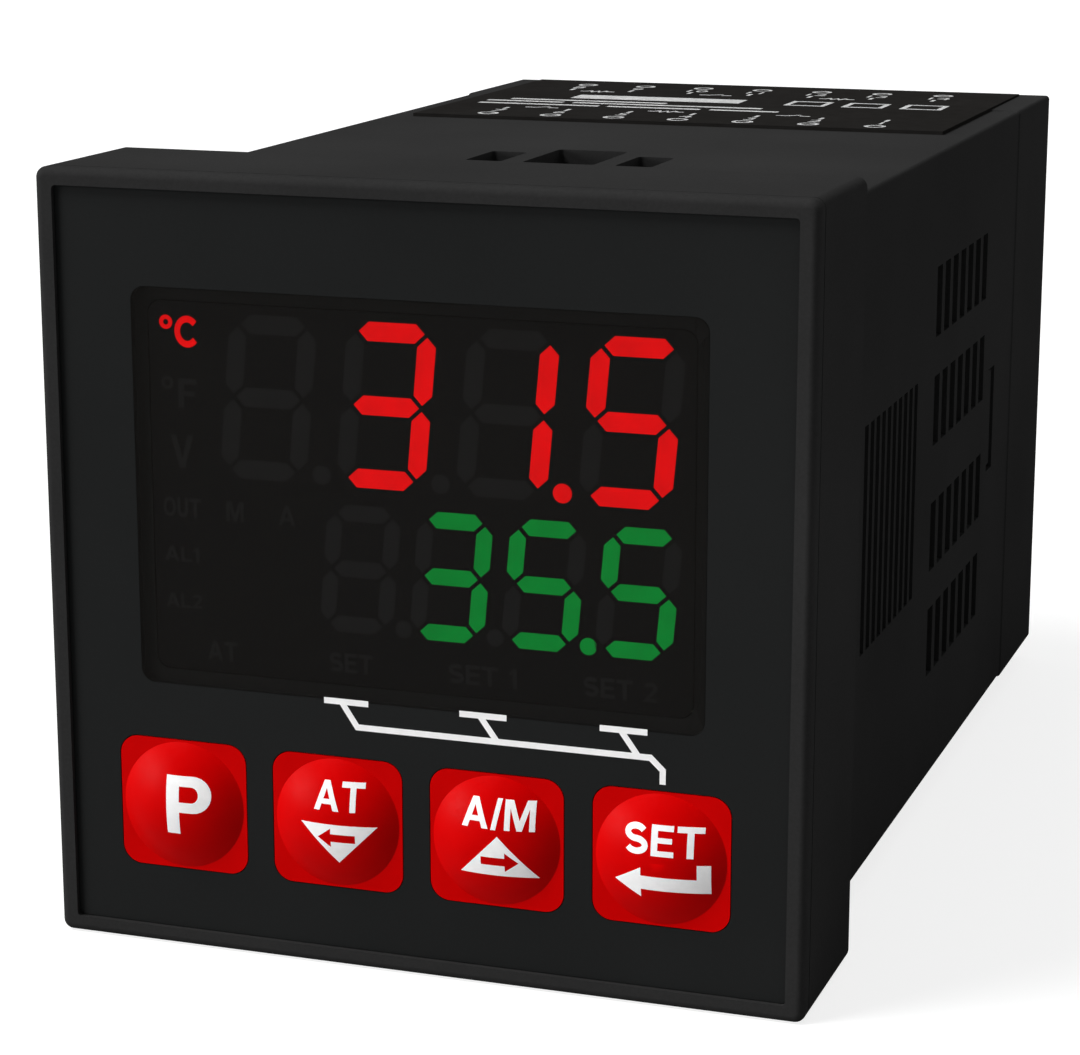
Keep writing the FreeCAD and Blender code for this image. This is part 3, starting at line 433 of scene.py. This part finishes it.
def outlineMesh(loops):
    curve = bpy.data.curves.new("outline", "CURVE")
    curve.dimensions = "2D"
    curve.fill_mode = "BOTH"
    for loop in loops:
        spline = curve.splines.new("POLY")
        spline.points.add(len(loop) - 1)
        for point, (x, z) in zip(spline.points, loop):
            point.co = (x, z, 0, 1)
        spline.use_cyclic_u = True
    return meshOf(curve)


def textMesh(words, height, x, z):
    curve = bpy.data.curves.new("words", "FONT")
    curve.body = words
    curve.size = height / 0.7  # a numeral is 0.7 of its size high
    curve.resolution_u = 3
    curve.align_x = "CENTER"
    mesh = meshOf(curve)
    for vertex in mesh.vertices:
        vertex.co.x += x
        vertex.co.y += z
    return mesh


def cutInGrid(flat, spacing):  # even cuts across a flat mesh, so that it can follow a curved surface
    for axis in (0, 1):
        places = [vertex.co[axis] for vertex in flat.verts]
        for number in range(math.ceil(min(places) / spacing), math.ceil(max(places) / spacing)):
            point, normal = [0, 0, 0], [0, 0, 0]
            point[axis], normal[axis] = number * spacing, 1
            whole = list(flat.verts) + list(flat.edges) + list(flat.faces)
            cut = {"geom": whole, "dist": printSizes["join"], "plane_co": point, "plane_no": normal}
            bmesh.ops.bisect_plane(flat, **cut)


def thicken(mesh, bottom, top, spacing):  # a flat mesh made a thin closed one, with its heights in Z
    flat = bmesh.new()
    flat.from_mesh(mesh)
    bmesh.ops.remove_doubles(flat, verts=flat.verts, dist=printSizes["join"])
    if spacing:
        cutInGrid(flat, spacing)
    bmesh.ops.triangulate(flat, faces=flat.faces)
    bmesh.ops.dissolve_degenerate(flat, edges=flat.edges, dist=printSizes["join"])
    for vertex in flat.verts:
        vertex.co.z = bottom
    raised = bmesh.ops.extrude_face_region(flat, geom=list(flat.faces))["geom"]
    for item in raised:
        if isinstance(item, bmesh.types.BMVert):
            item.co.z = top
    flat.to_mesh(mesh)
    flat.free()


def inOrder(shape):  # puts points and faces in one order, so that each run writes the same mesh
    for rank, vertex in enumerate(sorted(shape.verts, key=lambda vertex: vertex.co[:])):
        vertex.index = rank
    shape.verts.sort()
    corners = {face: sorted(vertex.index for vertex in face.verts) for face in shape.faces}
    for rank, face in enumerate(sorted(corners, key=corners.get)):
        face.index = rank
    shape.faces.sort()


# place turns a flat x, a flat y and a height into a point; step keeps outlines that overlap at other heights
def layPrint(name, meshes, place, finish, body, thickness=0.02, spacing=0.0, step=0.0):
    whole = bmesh.new()
    for index, mesh in enumerate(meshes):
        thicken(mesh, -printSizes["sunk"], thickness + index % 4 * step, spacing)
        whole.from_mesh(mesh)
        bpy.data.meshes.remove(mesh)
    for vertex in whole.verts:
        vertex.co = Vector(place(*vertex.co)) * mm
    bmesh.ops.recalc_face_normals(whole, faces=whole.faces)
    inOrder(whole)
    mesh = meshFrom(name, whole)
    smoothCurves(mesh)
    mesh.materials.append(finish)
    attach(addObject(name, mesh), body)


def ring(x, z, wide, high, turns=28):
    angles = [math.tau * number / turns for number in range(turns)]
    return [(x + wide * math.cos(angle), z + high * math.sin(angle)) for angle in angles]


def arc(x, z, wide, high, first, last, steps=14):
    angles = [math.radians(first + (last - first) * number / steps) for number in range(steps + 1)]
    return [(x + wide * math.cos(angle), z + high * math.sin(angle)) for angle in angles]


def ribbon(points, width):  # a stroke of even width along a line of points
    left, right = [], []
    last = len(points) - 1
    for index, point in enumerate(points):
        here = Vector(point)
        before = Vector(points[max(index - 1, 0)])
        after = Vector(points[min(index + 1, last)])
        inward = (here - before).normalized() if index else (after - here).normalized()
        outward = (after - here).normalized() if index < last else inward
        along = (inward + outward).normalized()
        aside = Vector((-along.y, along.x)) * (width / 2 / max(along.dot(inward), 0.5))
        left.append(tuple(here + aside))
        right.append(tuple(here - aside))
    return left + right[::-1]


def strokes(lines, width):
    return [outlineMesh([ribbon(line, width)]) for line in lines]


# block letters: the width of each beside its height of 1, and its outlines
letterShapes = {
    "T": (0.88, [[(0, 1), (0, 0.81), (0.33, 0.81), (0.33, 0), (0.55, 0), (0.55, 0.81),
                  (0.88, 0.81), (0.88, 1)]]),
    "A": (1.0, [[(0, 0), (0.385, 1), (0.615, 1), (1, 0), (0.77, 0), (0.69, 0.22), (0.31, 0.22), (0.23, 0)],
                [(0.375, 0.39), (0.625, 0.39), (0.5, 0.75)]]),
    "M": (1.08, [[(0, 0), (0, 1), (0.3, 1), (0.54, 0.34), (0.78, 1), (1.08, 1), (1.08, 0), (0.88, 0),
                  (0.88, 0.74), (0.63, 0), (0.45, 0), (0.2, 0.74), (0.2, 0)]]),
    "/": (0.4, [[(0, -0.02), (0.22, 1.02), (0.4, 1.02), (0.18, -0.02)]]),
    "E": (0.76, [[(0, 0), (0, 1), (0.74, 1), (0.74, 0.82), (0.22, 0.82), (0.22, 0.6), (0.7, 0.6),
                  (0.7, 0.43), (0.22, 0.43), (0.22, 0.18), (0.76, 0.18), (0.76, 0)]]),
    "F": (0.7, [[(0, 0), (0, 1), (0.7, 1), (0.7, 0.82), (0.22, 0.82), (0.22, 0.58), (0.62, 0.58),
                 (0.62, 0.41), (0.22, 0.41), (0.22, 0)]]),
    "P": (0.8, [[(0, 0), (0, 1)] + arc(0.48, 0.69, 0.32, 0.31, 90, -90) + [(0.235, 0.38), (0.235, 0)],
                [(0.235, 0.555)] + arc(0.45, 0.69, 0.125, 0.135, -90, 90) + [(0.235, 0.825)]]),
    "V": (0.94, [[(0, 1), (0.24, 1), (0.47, 0.28), (0.7, 1), (0.94, 1), (0.58, 0), (0.36, 0)]]),
    "L": (0.7, [[(0, 0), (0, 1), (0.22, 1), (0.22, 0.18), (0.7, 0.18), (0.7, 0)]]),
    "S": (0.84, [ribbon(arc(0.41, 0.7, 0.29, 0.2, 25, 265) + arc(0.42, 0.3, 0.31, 0.2, 85, -155), 0.205)]),
    "C": (0.94, [ribbon(arc(0.49, 0.5, 0.38, 0.4, 40, 320, 20), 0.21)]),
    "O": (0.96, [ring(0.48, 0.5, 0.48, 0.51), ring(0.48, 0.5, 0.27, 0.31)]),
    "U": (0.8, [ribbon([(0.11, 1)] + arc(0.4, 0.38, 0.29, 0.28, 180, 360) + [(0.69, 1)], 0.215)]),
    "1": (0.42, [[(0, 0.68), (0, 0.84), (0.24, 1), (0.42, 1), (0.42, 0), (0.2, 0), (0.2, 0.77)]]),
    "2": (0.72, [ribbon(arc(0.36, 0.7, 0.25, 0.2, 165, -35) + [(0.12, 0.1), (0.7, 0.1)], 0.2)]),
}
letterGap = 0.1
wordGap = 0.4


def letters(words, left, right, bottom, top):  # block letters that fill a box
    widths = [wordGap if letter == " " else letterShapes[letter][0] for letter in words]
    across = sum(widths) + letterGap * (len(words) - 1)
    stretch, tall = (right - left) / across, top - bottom
    x, made = left, []
    for letter, width in zip(words, widths):
        if letter != " ":
            outlines = letterShapes[letter][1]
            placed = [[(x + px * stretch, bottom + pz * tall) for px, pz in loop] for loop in outlines]
            made.append(outlineMesh(placed))
        x += (width + letterGap) * stretch
    return made


# white lines under the window: three bars, each with a drop to a rail that ends in a corner
bracketSizes = {"stroke": 0.37, "step": 0.002, "barZ": -7.3, "railZ": -8.8, "railEnd": 14.5,
                "bars": [(-5.95, -3.1), (2.7, 5.65), (11.4, 14.3)],
                "drops": [(-4.83, -3.82), (3.97, 5.06), (12.67, 13.76)],
                "corner": [(15.25, -9.5), (15.25, -10.35)]}
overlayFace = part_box("front_overlay")[0].y / mm


def onOverlay(x, z, lift):
    return (x, overlayFace - lift, z)


def bracketLines():
    barZ, railZ = bracketSizes["barZ"], bracketSizes["railZ"]
    bars = [[(left, barZ), (right, barZ)] for left, right in bracketSizes["bars"]]
    drops = [[(top, barZ), (bottom, railZ)] for top, bottom in bracketSizes["drops"]]
    drops[0] += [(bracketSizes["railEnd"], railZ)] + bracketSizes["corner"]
    return bars + drops


bracketMeshes = strokes(bracketLines(), bracketSizes["stroke"])
layPrint("bracketPrint", bracketMeshes, onOverlay, whiteInk, "case", step=bracketSizes["step"])


# white marks on the keys, laid on the domes
def arrowLoop(tipX, z, tailX):
    shaft, head, headLong = 0.25, 0.6, 0.85
    neck = tipX + (headLong if tailX > tipX else -headLong)
    upper = [(neck, z + head), (neck, z + shaft), (tailX, z + shaft)]
    lower = [(tailX, z - shaft), (neck, z - shaft), (neck, z - head)]
    return [(tipX, z)] + upper + lower


markSizes = {"shift": (0.33, 0.24), "thickness": 0.008, "spacing": 0.45}
keyMarks = {
    "program": {"words": ("P", -16.53, -13.6, -16.8, -13.1)},
    "down": {"words": ("AT", -6.74, -3.54, -14.2, -12.38),
             "sign": [[(-7.62, -15.05), (-2.75, -15.05), (-5.2, -17.5)], arrowLoop(-6.5, -15.9, -4.1)]},
    "up": {"words": ("A/M", 2.72, 7.25, -14.2, -12.38),
           "sign": [[(2.58, -17.1), (7.48, -17.1), (5.0, -14.62)], arrowLoop(6.3, -16.2, 3.95)]},
    "set": {"words": ("SET", 12.8, 17.6, -14.7, -12.85),
            "sign": [[(12.2, -16.43), (13.85, -15.5), (13.85, -16.0), (17.2, -16.0), (17.2, -15.1),
                      (18.0, -15.1), (18.0, -16.85), (13.85, -16.85), (13.85, -17.36)]]},
}
domeRadius = ((keyDomes["width"] / 2) ** 2 + keyDomes["height"] ** 2) / (2 * keyDomes["height"])


def onDome(key):
    middle = keyMiddles[key] / mm
    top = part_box("key_" + key)[0].y / mm
    shiftX, shiftZ = markSizes["shift"]

    def place(x, z, lift):
        x, z = x + shiftX, z + shiftZ
        out = math.hypot(x - middle.x, z - middle.z)
        y = top + domeRadius - math.sqrt(domeRadius ** 2 - out ** 2) - lift
        return (x, max(y, top), z)
    return place


for key in keyNames:
    meshes = letters(*keyMarks[key]["words"])
    if "sign" in keyMarks[key]:
        meshes.append(outlineMesh(keyMarks[key]["sign"]))
    thickness, spacing = markSizes["thickness"], markSizes["spacing"]
    layPrint(key + "KeyMark", meshes, onDome(key), whiteInk, key + "_key", thickness, spacing)
print("bracket and key marks")

# lamp legends behind the window; a round lamp is its middle and its outer and inner radius
lampSizes = {"shift": (-0.18, -0.13), "thickness": 0.01, "litLamp": (-15.8, 15.12, 0.43, 0.17),
             "dimLamp": (-15.8, 11.45, 0.4, 0.2)}
litWords = ("C", -15.25, -13.65, 13.65, 15.55)
dimWords = [
    ("F", -15.1, -13.9, 9.95, 11.75), ("V", -15.7, -14.2, 6.3, 8.3), ("OUT", -16.3, -13.8, 3.25, 4.45),
    ("M", -12.15, -11.0, 3.25, 4.45), ("A", -8.75, -7.65, 3.25, 4.45), ("AL1", -16.3, -14.0, 0.5, 1.4),
    ("AL2", -16.3, -13.9, -2.4, -1.5), ("AT", -13.6, -11.6, -5.5, -4.3), ("SET", -5.6, -2.8, -5.5, -4.3),
    ("SET 1", 2.0, 6.3, -5.5, -4.3), ("SET 2", 10.4, 14.9, -5.5, -4.3),
]
lampPlane = (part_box("display_module")[0].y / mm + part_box("display_window")[1].y / mm) / 2


def behindWindow(x, z, lift):
    shiftX, shiftZ = lampSizes["shift"]
    return (x + shiftX, lampPlane - lift, z + shiftZ)


def roundMesh(x, z, outer, inner):
    return outlineMesh([ring(x, z, outer, outer), ring(x, z, inner, inner)])


litLamps = [roundMesh(*lampSizes["litLamp"])] + letters(*litWords)
dimLamps = [roundMesh(*lampSizes["dimLamp"])]
for words in dimWords:
    dimLamps += letters(*words)
layPrint("litLamp", litLamps, behindWindow, litRed, "case", lampSizes["thickness"])
layPrint("dimLamps", dimLamps, behindWindow, dimInk, "case", lampSizes["thickness"])
print("lamp legends")


# what repeats: built by geometry nodes, then made plain meshes
def nodeTree(name, inputs):
    tree = bpy.data.node_groups.new(name, "GeometryNodeTree")
    for label, kind, value in inputs:
        socket = tree.interface.new_socket(label, in_out="INPUT", socket_type="NodeSocket" + kind)
        if value is not None:
            socket.default_value = value
    tree.interface.new_socket("Geometry", in_out="OUTPUT", socket_type="NodeSocketGeometry")

    def add(kind, settings=None, sockets=None):
        made = tree.nodes.new(kind)
        for key, chosen in (settings or {}).items():
            setattr(made, key, chosen)
        for key, given in (sockets or {}).items():
            if isinstance(given, bpy.types.NodeSocket):
                tree.links.new(given, made.inputs[key])
            else:
                made.inputs[key].default_value = given
        return made

    return tree, add


def rowsTree(name):  # two rows of the template, either side of the middle, each copy turned at random
    inputs = [("Template", "Object", None), ("Columns", "Int", 7), ("Pitch", "Float", 0.005),
              ("Row", "Float", 0.01), ("Start", "Vector", None), ("Along", "Vector", None),
              ("Turn", "Float", 0.0), ("Material", "Material", None)]
    tree, add = nodeTree(name, inputs)
    given = add("NodeGroupInput").outputs
    offset = add("ShaderNodeCombineXYZ", {}, {"X": given["Pitch"]}).outputs[0]
    both = add("GeometryNodeJoinGeometry")
    for way in (1.0, -1.0):
        shift = add("ShaderNodeVectorMath", {"operation": "SCALE"},
                    {0: given["Along"], "Scale": given["Row"]})
        turned = add("ShaderNodeVectorMath", {"operation": "SCALE"}, {0: shift.outputs[0], "Scale": way})
        start = add("ShaderNodeVectorMath", {"operation": "ADD"}, {0: given["Start"], 1: turned.outputs[0]})
        row = add("GeometryNodeMeshLine", {"mode": "OFFSET"},
                  {"Count": given["Columns"], "Start Location": start.outputs[0], "Offset": offset})
        tree.links.new(row.outputs[0], both.inputs[0])
    angle = add("FunctionNodeRandomValue", {"data_type": "FLOAT"}, {2: 0.0, 3: given["Turn"], "Seed": 7})
    spin = add("ShaderNodeCombineXYZ", {}, {"Y": angle.outputs[1]})
    shape = add("GeometryNodeObjectInfo", {}, {"Object": given["Template"]})
    spread = add("GeometryNodeInstanceOnPoints", {}, {
        "Points": both.outputs[0], "Instance": shape.outputs["Geometry"], "Rotation": spin.outputs[0]})
    real = add("GeometryNodeRealizeInstances", {}, {"Geometry": spread.outputs[0]})
    dressed = add("GeometryNodeSetMaterial", {},
                  {"Geometry": real.outputs[0], "Material": given["Material"]})
    add("NodeGroupOutput", {}, {0: dressed.outputs[0]})
    return tree


def repeatedRows(name, template, sizes, finish, body):
    template.data.materials.append(finish)
    holder = addObject(name + " holder", bpy.data.meshes.new(name + " holder"))
    modifier = holder.modifiers.new("rows", "NODES")
    modifier.node_group = rowsTree(name + " rows")
    given = dict(sizes, Template=template, Material=finish)
    for item in modifier.node_group.interface.items_tree:
        if item.in_out == "INPUT" and item.name in given:
            modifier[item.identifier] = given[item.name]
    mesh = plainMesh(holder)
    mesh.name = name
    bpy.data.objects.remove(holder)
    bpy.data.objects.remove(template)
    piece = addObject(name, mesh)
    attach(piece, body)
    return piece


# the terminal screws; the crown is how far in and how far down its rounded edge is
screwSizes = {"head": 3.4, "headHigh": 1.8, "shank": 2.45, "thread": 0.45, "threadDeep": 0.2, "sides": 28,
              "slot": 0.62, "slotDeep": 0.85, "crossWide": 0.8, "crossLong": 0.62,
              "crown": [(0, 0.55), (0.07, 0.3), (0.22, 0.12), (0.5, 0.02)]}
terminalSizes = {"columns": 7, "pitch": 5.08, "turn": 1.2}


def turnedPiece(name, profile, sides):  # a profile of (radius, y) turned round the Y axis
    shape = bmesh.new()
    angles = [math.tau * side / sides for side in range(sides)]
    rings = []
    for radius, y in profile:
        points = [(radius * math.cos(angle), y, radius * math.sin(angle)) for angle in angles]
        if radius == 0:
            points = points[:1]
        rings.append([shape.verts.new(point) for point in points])
    for first, second in zip(rings, rings[1:]):
        for side in range(sides):
            after = (side + 1) % sides
            if len(first) == 1:
                shape.faces.new((first[0], second[after], second[side]))
            elif len(second) == 1:
                shape.faces.new((first[side], first[after], second[0]))
            else:
                shape.faces.new((first[side], first[after], second[after], second[side]))
    bmesh.ops.recalc_face_normals(shape, faces=shape.faces)
    return addObject(name, meshFrom(name, shape))


def slotCutter(wide, tall, top):  # reaches a little above the top of the head
    deep = screwSizes["slotDeep"]
    shape = bmesh.new()
    bmesh.ops.create_cube(shape, size=1.0)
    for vertex in shape.verts:
        x, y, z = vertex.co
        vertex.co = Vector((x * wide, top - deep / 2 + (y + 0.02) * deep * 1.04, z * tall)) * mm
    return addObject("cutter", meshFrom("cutter", shape))


def screwProfile(top):
    radius, shank, thread = screwSizes["head"] / 2, screwSizes["shank"] / 2, screwSizes["thread"]
    neck, core = top - screwSizes["headHigh"], shank - screwSizes["threadDeep"]
    profile = [(0, 0)]
    y = 0.0
    while y < neck - thread:
        profile += [(core, y), (shank, y + thread / 2)]
        y += thread
    profile += [(core, neck - 0.05), (core, neck), (radius - 0.06, neck), (radius, neck + 0.08)]
    profile += [(radius - inward, top - down) for inward, down in screwSizes["crown"]]
    return [(away * mm, y * mm) for away, y in profile + [(0, top)]]


def screwTemplate():
    low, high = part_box("terminal_screws")
    top = (high.y - low.y) / mm
    screw = turnedPiece("screw", screwProfile(top), screwSizes["sides"])
    head, slot = screwSizes["head"], screwSizes["slot"]
    cutters = [slotCutter(head * 1.2, slot, top),
               slotCutter(slot * screwSizes["crossWide"], head * screwSizes["crossLong"], top)]
    for cutter in cutters:
        cut = screw.modifiers.new("slot", "BOOLEAN")
        cut.object = cutter
        cut.operation = "DIFFERENCE"
        cut.solver = "EXACT"
    mesh = plainMesh(screw)
    smoothCurves(mesh)
    screw.modifiers.clear()
    screw.data = mesh
    for cutter in cutters:
        bpy.data.objects.remove(cutter)
    return screw


screwLow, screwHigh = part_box("terminal_screws")
terminalPitch = terminalSizes["pitch"] * mm
firstColumn = -(terminalSizes["columns"] - 1) / 2 * terminalPitch
terminalRows = {"Columns": terminalSizes["columns"], "Pitch": terminalPitch, "Turn": terminalSizes["turn"],
                "Row": screwHigh.z - screwSizes["head"] / 2 * mm, "Along": (0, 0, 1),
                "Start": (firstColumn, screwLow.y, 0)}
screws = repeatedRows("terminalScrews", screwTemplate(), terminalRows, finishes["plated_steel"], "case")
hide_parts("terminal_screws")
print("terminal screws")

# print on the top label: numbered terminals along two edges, with wiring signs and plain blocks between
labelSizes = {"frontY": 42.4, "rearY": 66.4, "columns": 7, "pitch": 4.9, "digits": 1.45, "stroke": 0.28,
              "thickness": 0.01, "ring": (0.8, 0.52), "lead": (3.4, 4.6), "sign": 5.2, "wordStroke": 0.7,
              "signColumns": (-2.5, -0.5, 1.5)}
labelWords = [(50.0, -18.2, -8.5), (50.0, -7.8, -0.5), (50.0, 0.3, 5.6), (52.0, -18.2, -12.0),
              (52.0, -11.2, 3.8), (53.6, -16.8, -4.2)]  # y, left and right of bars that stand for words
labelBlock = (-12.6, 55.4, 1.0, 58.2)  # in place of a title
labelFrames = {"lefts": (4.6, 9.1, 13.6), "wide": 3.2, "frontY": 55.2, "rearY": 58.6, "wall": 0.4}
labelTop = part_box("wiring_label")[1].z / mm


def onLabel(x, y, lift):
    return (x, y, labelTop + lift)


def boxLoop(left, front, right, rear):
    return [(left, front), (right, front), (right, rear), (left, rear)]


def contactMark(x, y):  # an open contact between two terminals
    return [[(x - 1.3, y), (x - 0.5, y), (x + 0.45, y + 0.7)], [(x + 0.5, y), (x + 1.3, y)]]


def sensorMark(x, y):  # a resistor with its two leads
    zigzag = [(x - 0.9 + step * 0.3, y + (0.45 if step % 2 else -0.45)) for step in range(1, 6)]
    return [[(x - 1.4, y), (x - 0.9, y)] + zigzag + [(x + 0.9, y), (x + 1.4, y)]]


def terminalMarks():
    columns, front, rear = labelSizes["columns"], labelSizes["frontY"], labelSizes["rearY"]
    near, far = labelSizes["lead"]
    made = []
    for column in range(columns):
        x = (column - (columns - 1) / 2) * labelSizes["pitch"]
        made.append(textMesh(str(columns - column), labelSizes["digits"], x, front + 1.5))
        made.append(textMesh(str(columns + 1 + column), labelSizes["digits"], x, rear - 3.0))
        made += [roundMesh(x, y, *labelSizes["ring"]) for y in (front, rear)]
        leads = [[(x, front + near), (x, front + far)], [(x, rear - far), (x, rear - near)]]
        made += strokes(leads, labelSizes["stroke"])
    return made


def wiringSigns():
    made = []
    rows = [(labelSizes["frontY"] + labelSizes["sign"], (contactMark, sensorMark, contactMark)),
            (labelSizes["rearY"] - labelSizes["sign"], (sensorMark, contactMark, sensorMark))]
    for y, draws in rows:
        for column, draw in zip(labelSizes["signColumns"], draws):
            made += strokes(draw(column * labelSizes["pitch"], y), labelSizes["stroke"])
    return made


def plainBlocks():
    made = [outlineMesh([boxLoop(*labelBlock)])]
    made += strokes([[(left, y), (right, y)] for y, left, right in labelWords], labelSizes["wordStroke"])
    wall, front, rear = labelFrames["wall"], labelFrames["frontY"], labelFrames["rearY"]
    for left in labelFrames["lefts"]:
        right = left + labelFrames["wide"]
        inner = boxLoop(left + wall, front + wall, right - wall, rear - wall)
        made.append(outlineMesh([boxLoop(left, front, right, rear), inner]))
    return made


labelMeshes = terminalMarks() + wiringSigns() + plainBlocks()
layPrint("labelPrint", labelMeshes, onLabel, labelInk, "case", labelSizes["thickness"])
print("label print")

# floor and backdrop: pale where they are seen, and dim where they light the object
studio = {"floor": -24.05, "floorHalf": 3.0, "floorGlow": 0.8, "sky": 0.11,
          "paper": ((0.3, 0.3, 0.3, 1), (0.33, 0.33, 0.33, 1))}
white = (1, 1, 1, 1)


def paleFloor():
    paint = Finish("pale floor")
    seen = paint.seen()
    paper = paint.mix(paint.noise(30.0, 3.0), *studio["paper"])
    diffuse = paint.node("ShaderNodeBsdfDiffuse", {}, {"Color": paper})
    glow = paint.node("ShaderNodeEmission", {}, {"Color": white, "Strength": seen * studio["floorGlow"]})
    both = paint.node("ShaderNodeAddShader", {}, {0: diffuse, 1: glow})
    paint.node("ShaderNodeOutputMaterial", {}, {"Surface": both})
    return paint.material


def paleWorld():
    world = bpy.data.worlds.new("studio")
    bpy.context.scene.world = world
    paint = Finish("studio", world)
    seen = paint.seen()
    strength = seen + (1 - seen) * studio["sky"]
    sky = paint.node("ShaderNodeBackground", {}, {"Color": white, "Strength": strength})
    paint.node("ShaderNodeOutputWorld", {}, {"Surface": sky})


half = studio["floorHalf"]
floorMesh = bpy.data.meshes.new("floor")
corners = [(x, y, studio["floor"] * mm) for x, y in boxLoop(-half, -half, half, half)]
floorMesh.from_pydata(corners, [], [(0, 1, 2, 3)])
floorMesh.materials.append(paleFloor())
addObject("floor", floorMesh)
paleWorld()

# lamps: strength, softness in degrees and the way the light goes
suns = {
    "upper light": (2.9, 28, (0.5, 0.3, -0.81)),
    "left light": (2.25, 26, (0.8, 0.5, -0.12)),
    "right light": (0.75, 50, (-1, -0.25, -0.1)),
    "rear light": (1.4, 50, (0.1, -1, -0.05)),
    "top light": (0.5, 60, (0.1, -0.1, -1)),
}
for name, (strength, softness, way) in suns.items():
    lamp = bpy.data.lights.new(name, "SUN")
    lamp.energy = strength
    lamp.angle = math.radians(softness)
    addObject(name, lamp).rotation_euler = Vector(way).to_track_quat("-Z", "Y").to_euler()

cameraSizes = {"place": (63.618, -172.871, 45.331), "tilt": 0.23446, "turn": 0.33208,
               "lens": 101.992, "sensor": 36, "nearest": 0.005, "farthest": 20}
camera = addObject("camera", bpy.data.cameras.new("camera"))
camera.location = Vector(cameraSizes["place"]) * mm
camera.rotation_euler = (math.pi / 2 - cameraSizes["tilt"], 0, cameraSizes["turn"])
camera.data.lens = cameraSizes["lens"]
camera.data.sensor_width = cameraSizes["sensor"]
camera.data.clip_start = cameraSizes["nearest"]
camera.data.clip_end = cameraSizes["farthest"]
bpy.context.scene.camera = camera
bpy.context.scene.view_settings.view_transform = "Standard"
print("stage, light and camera")
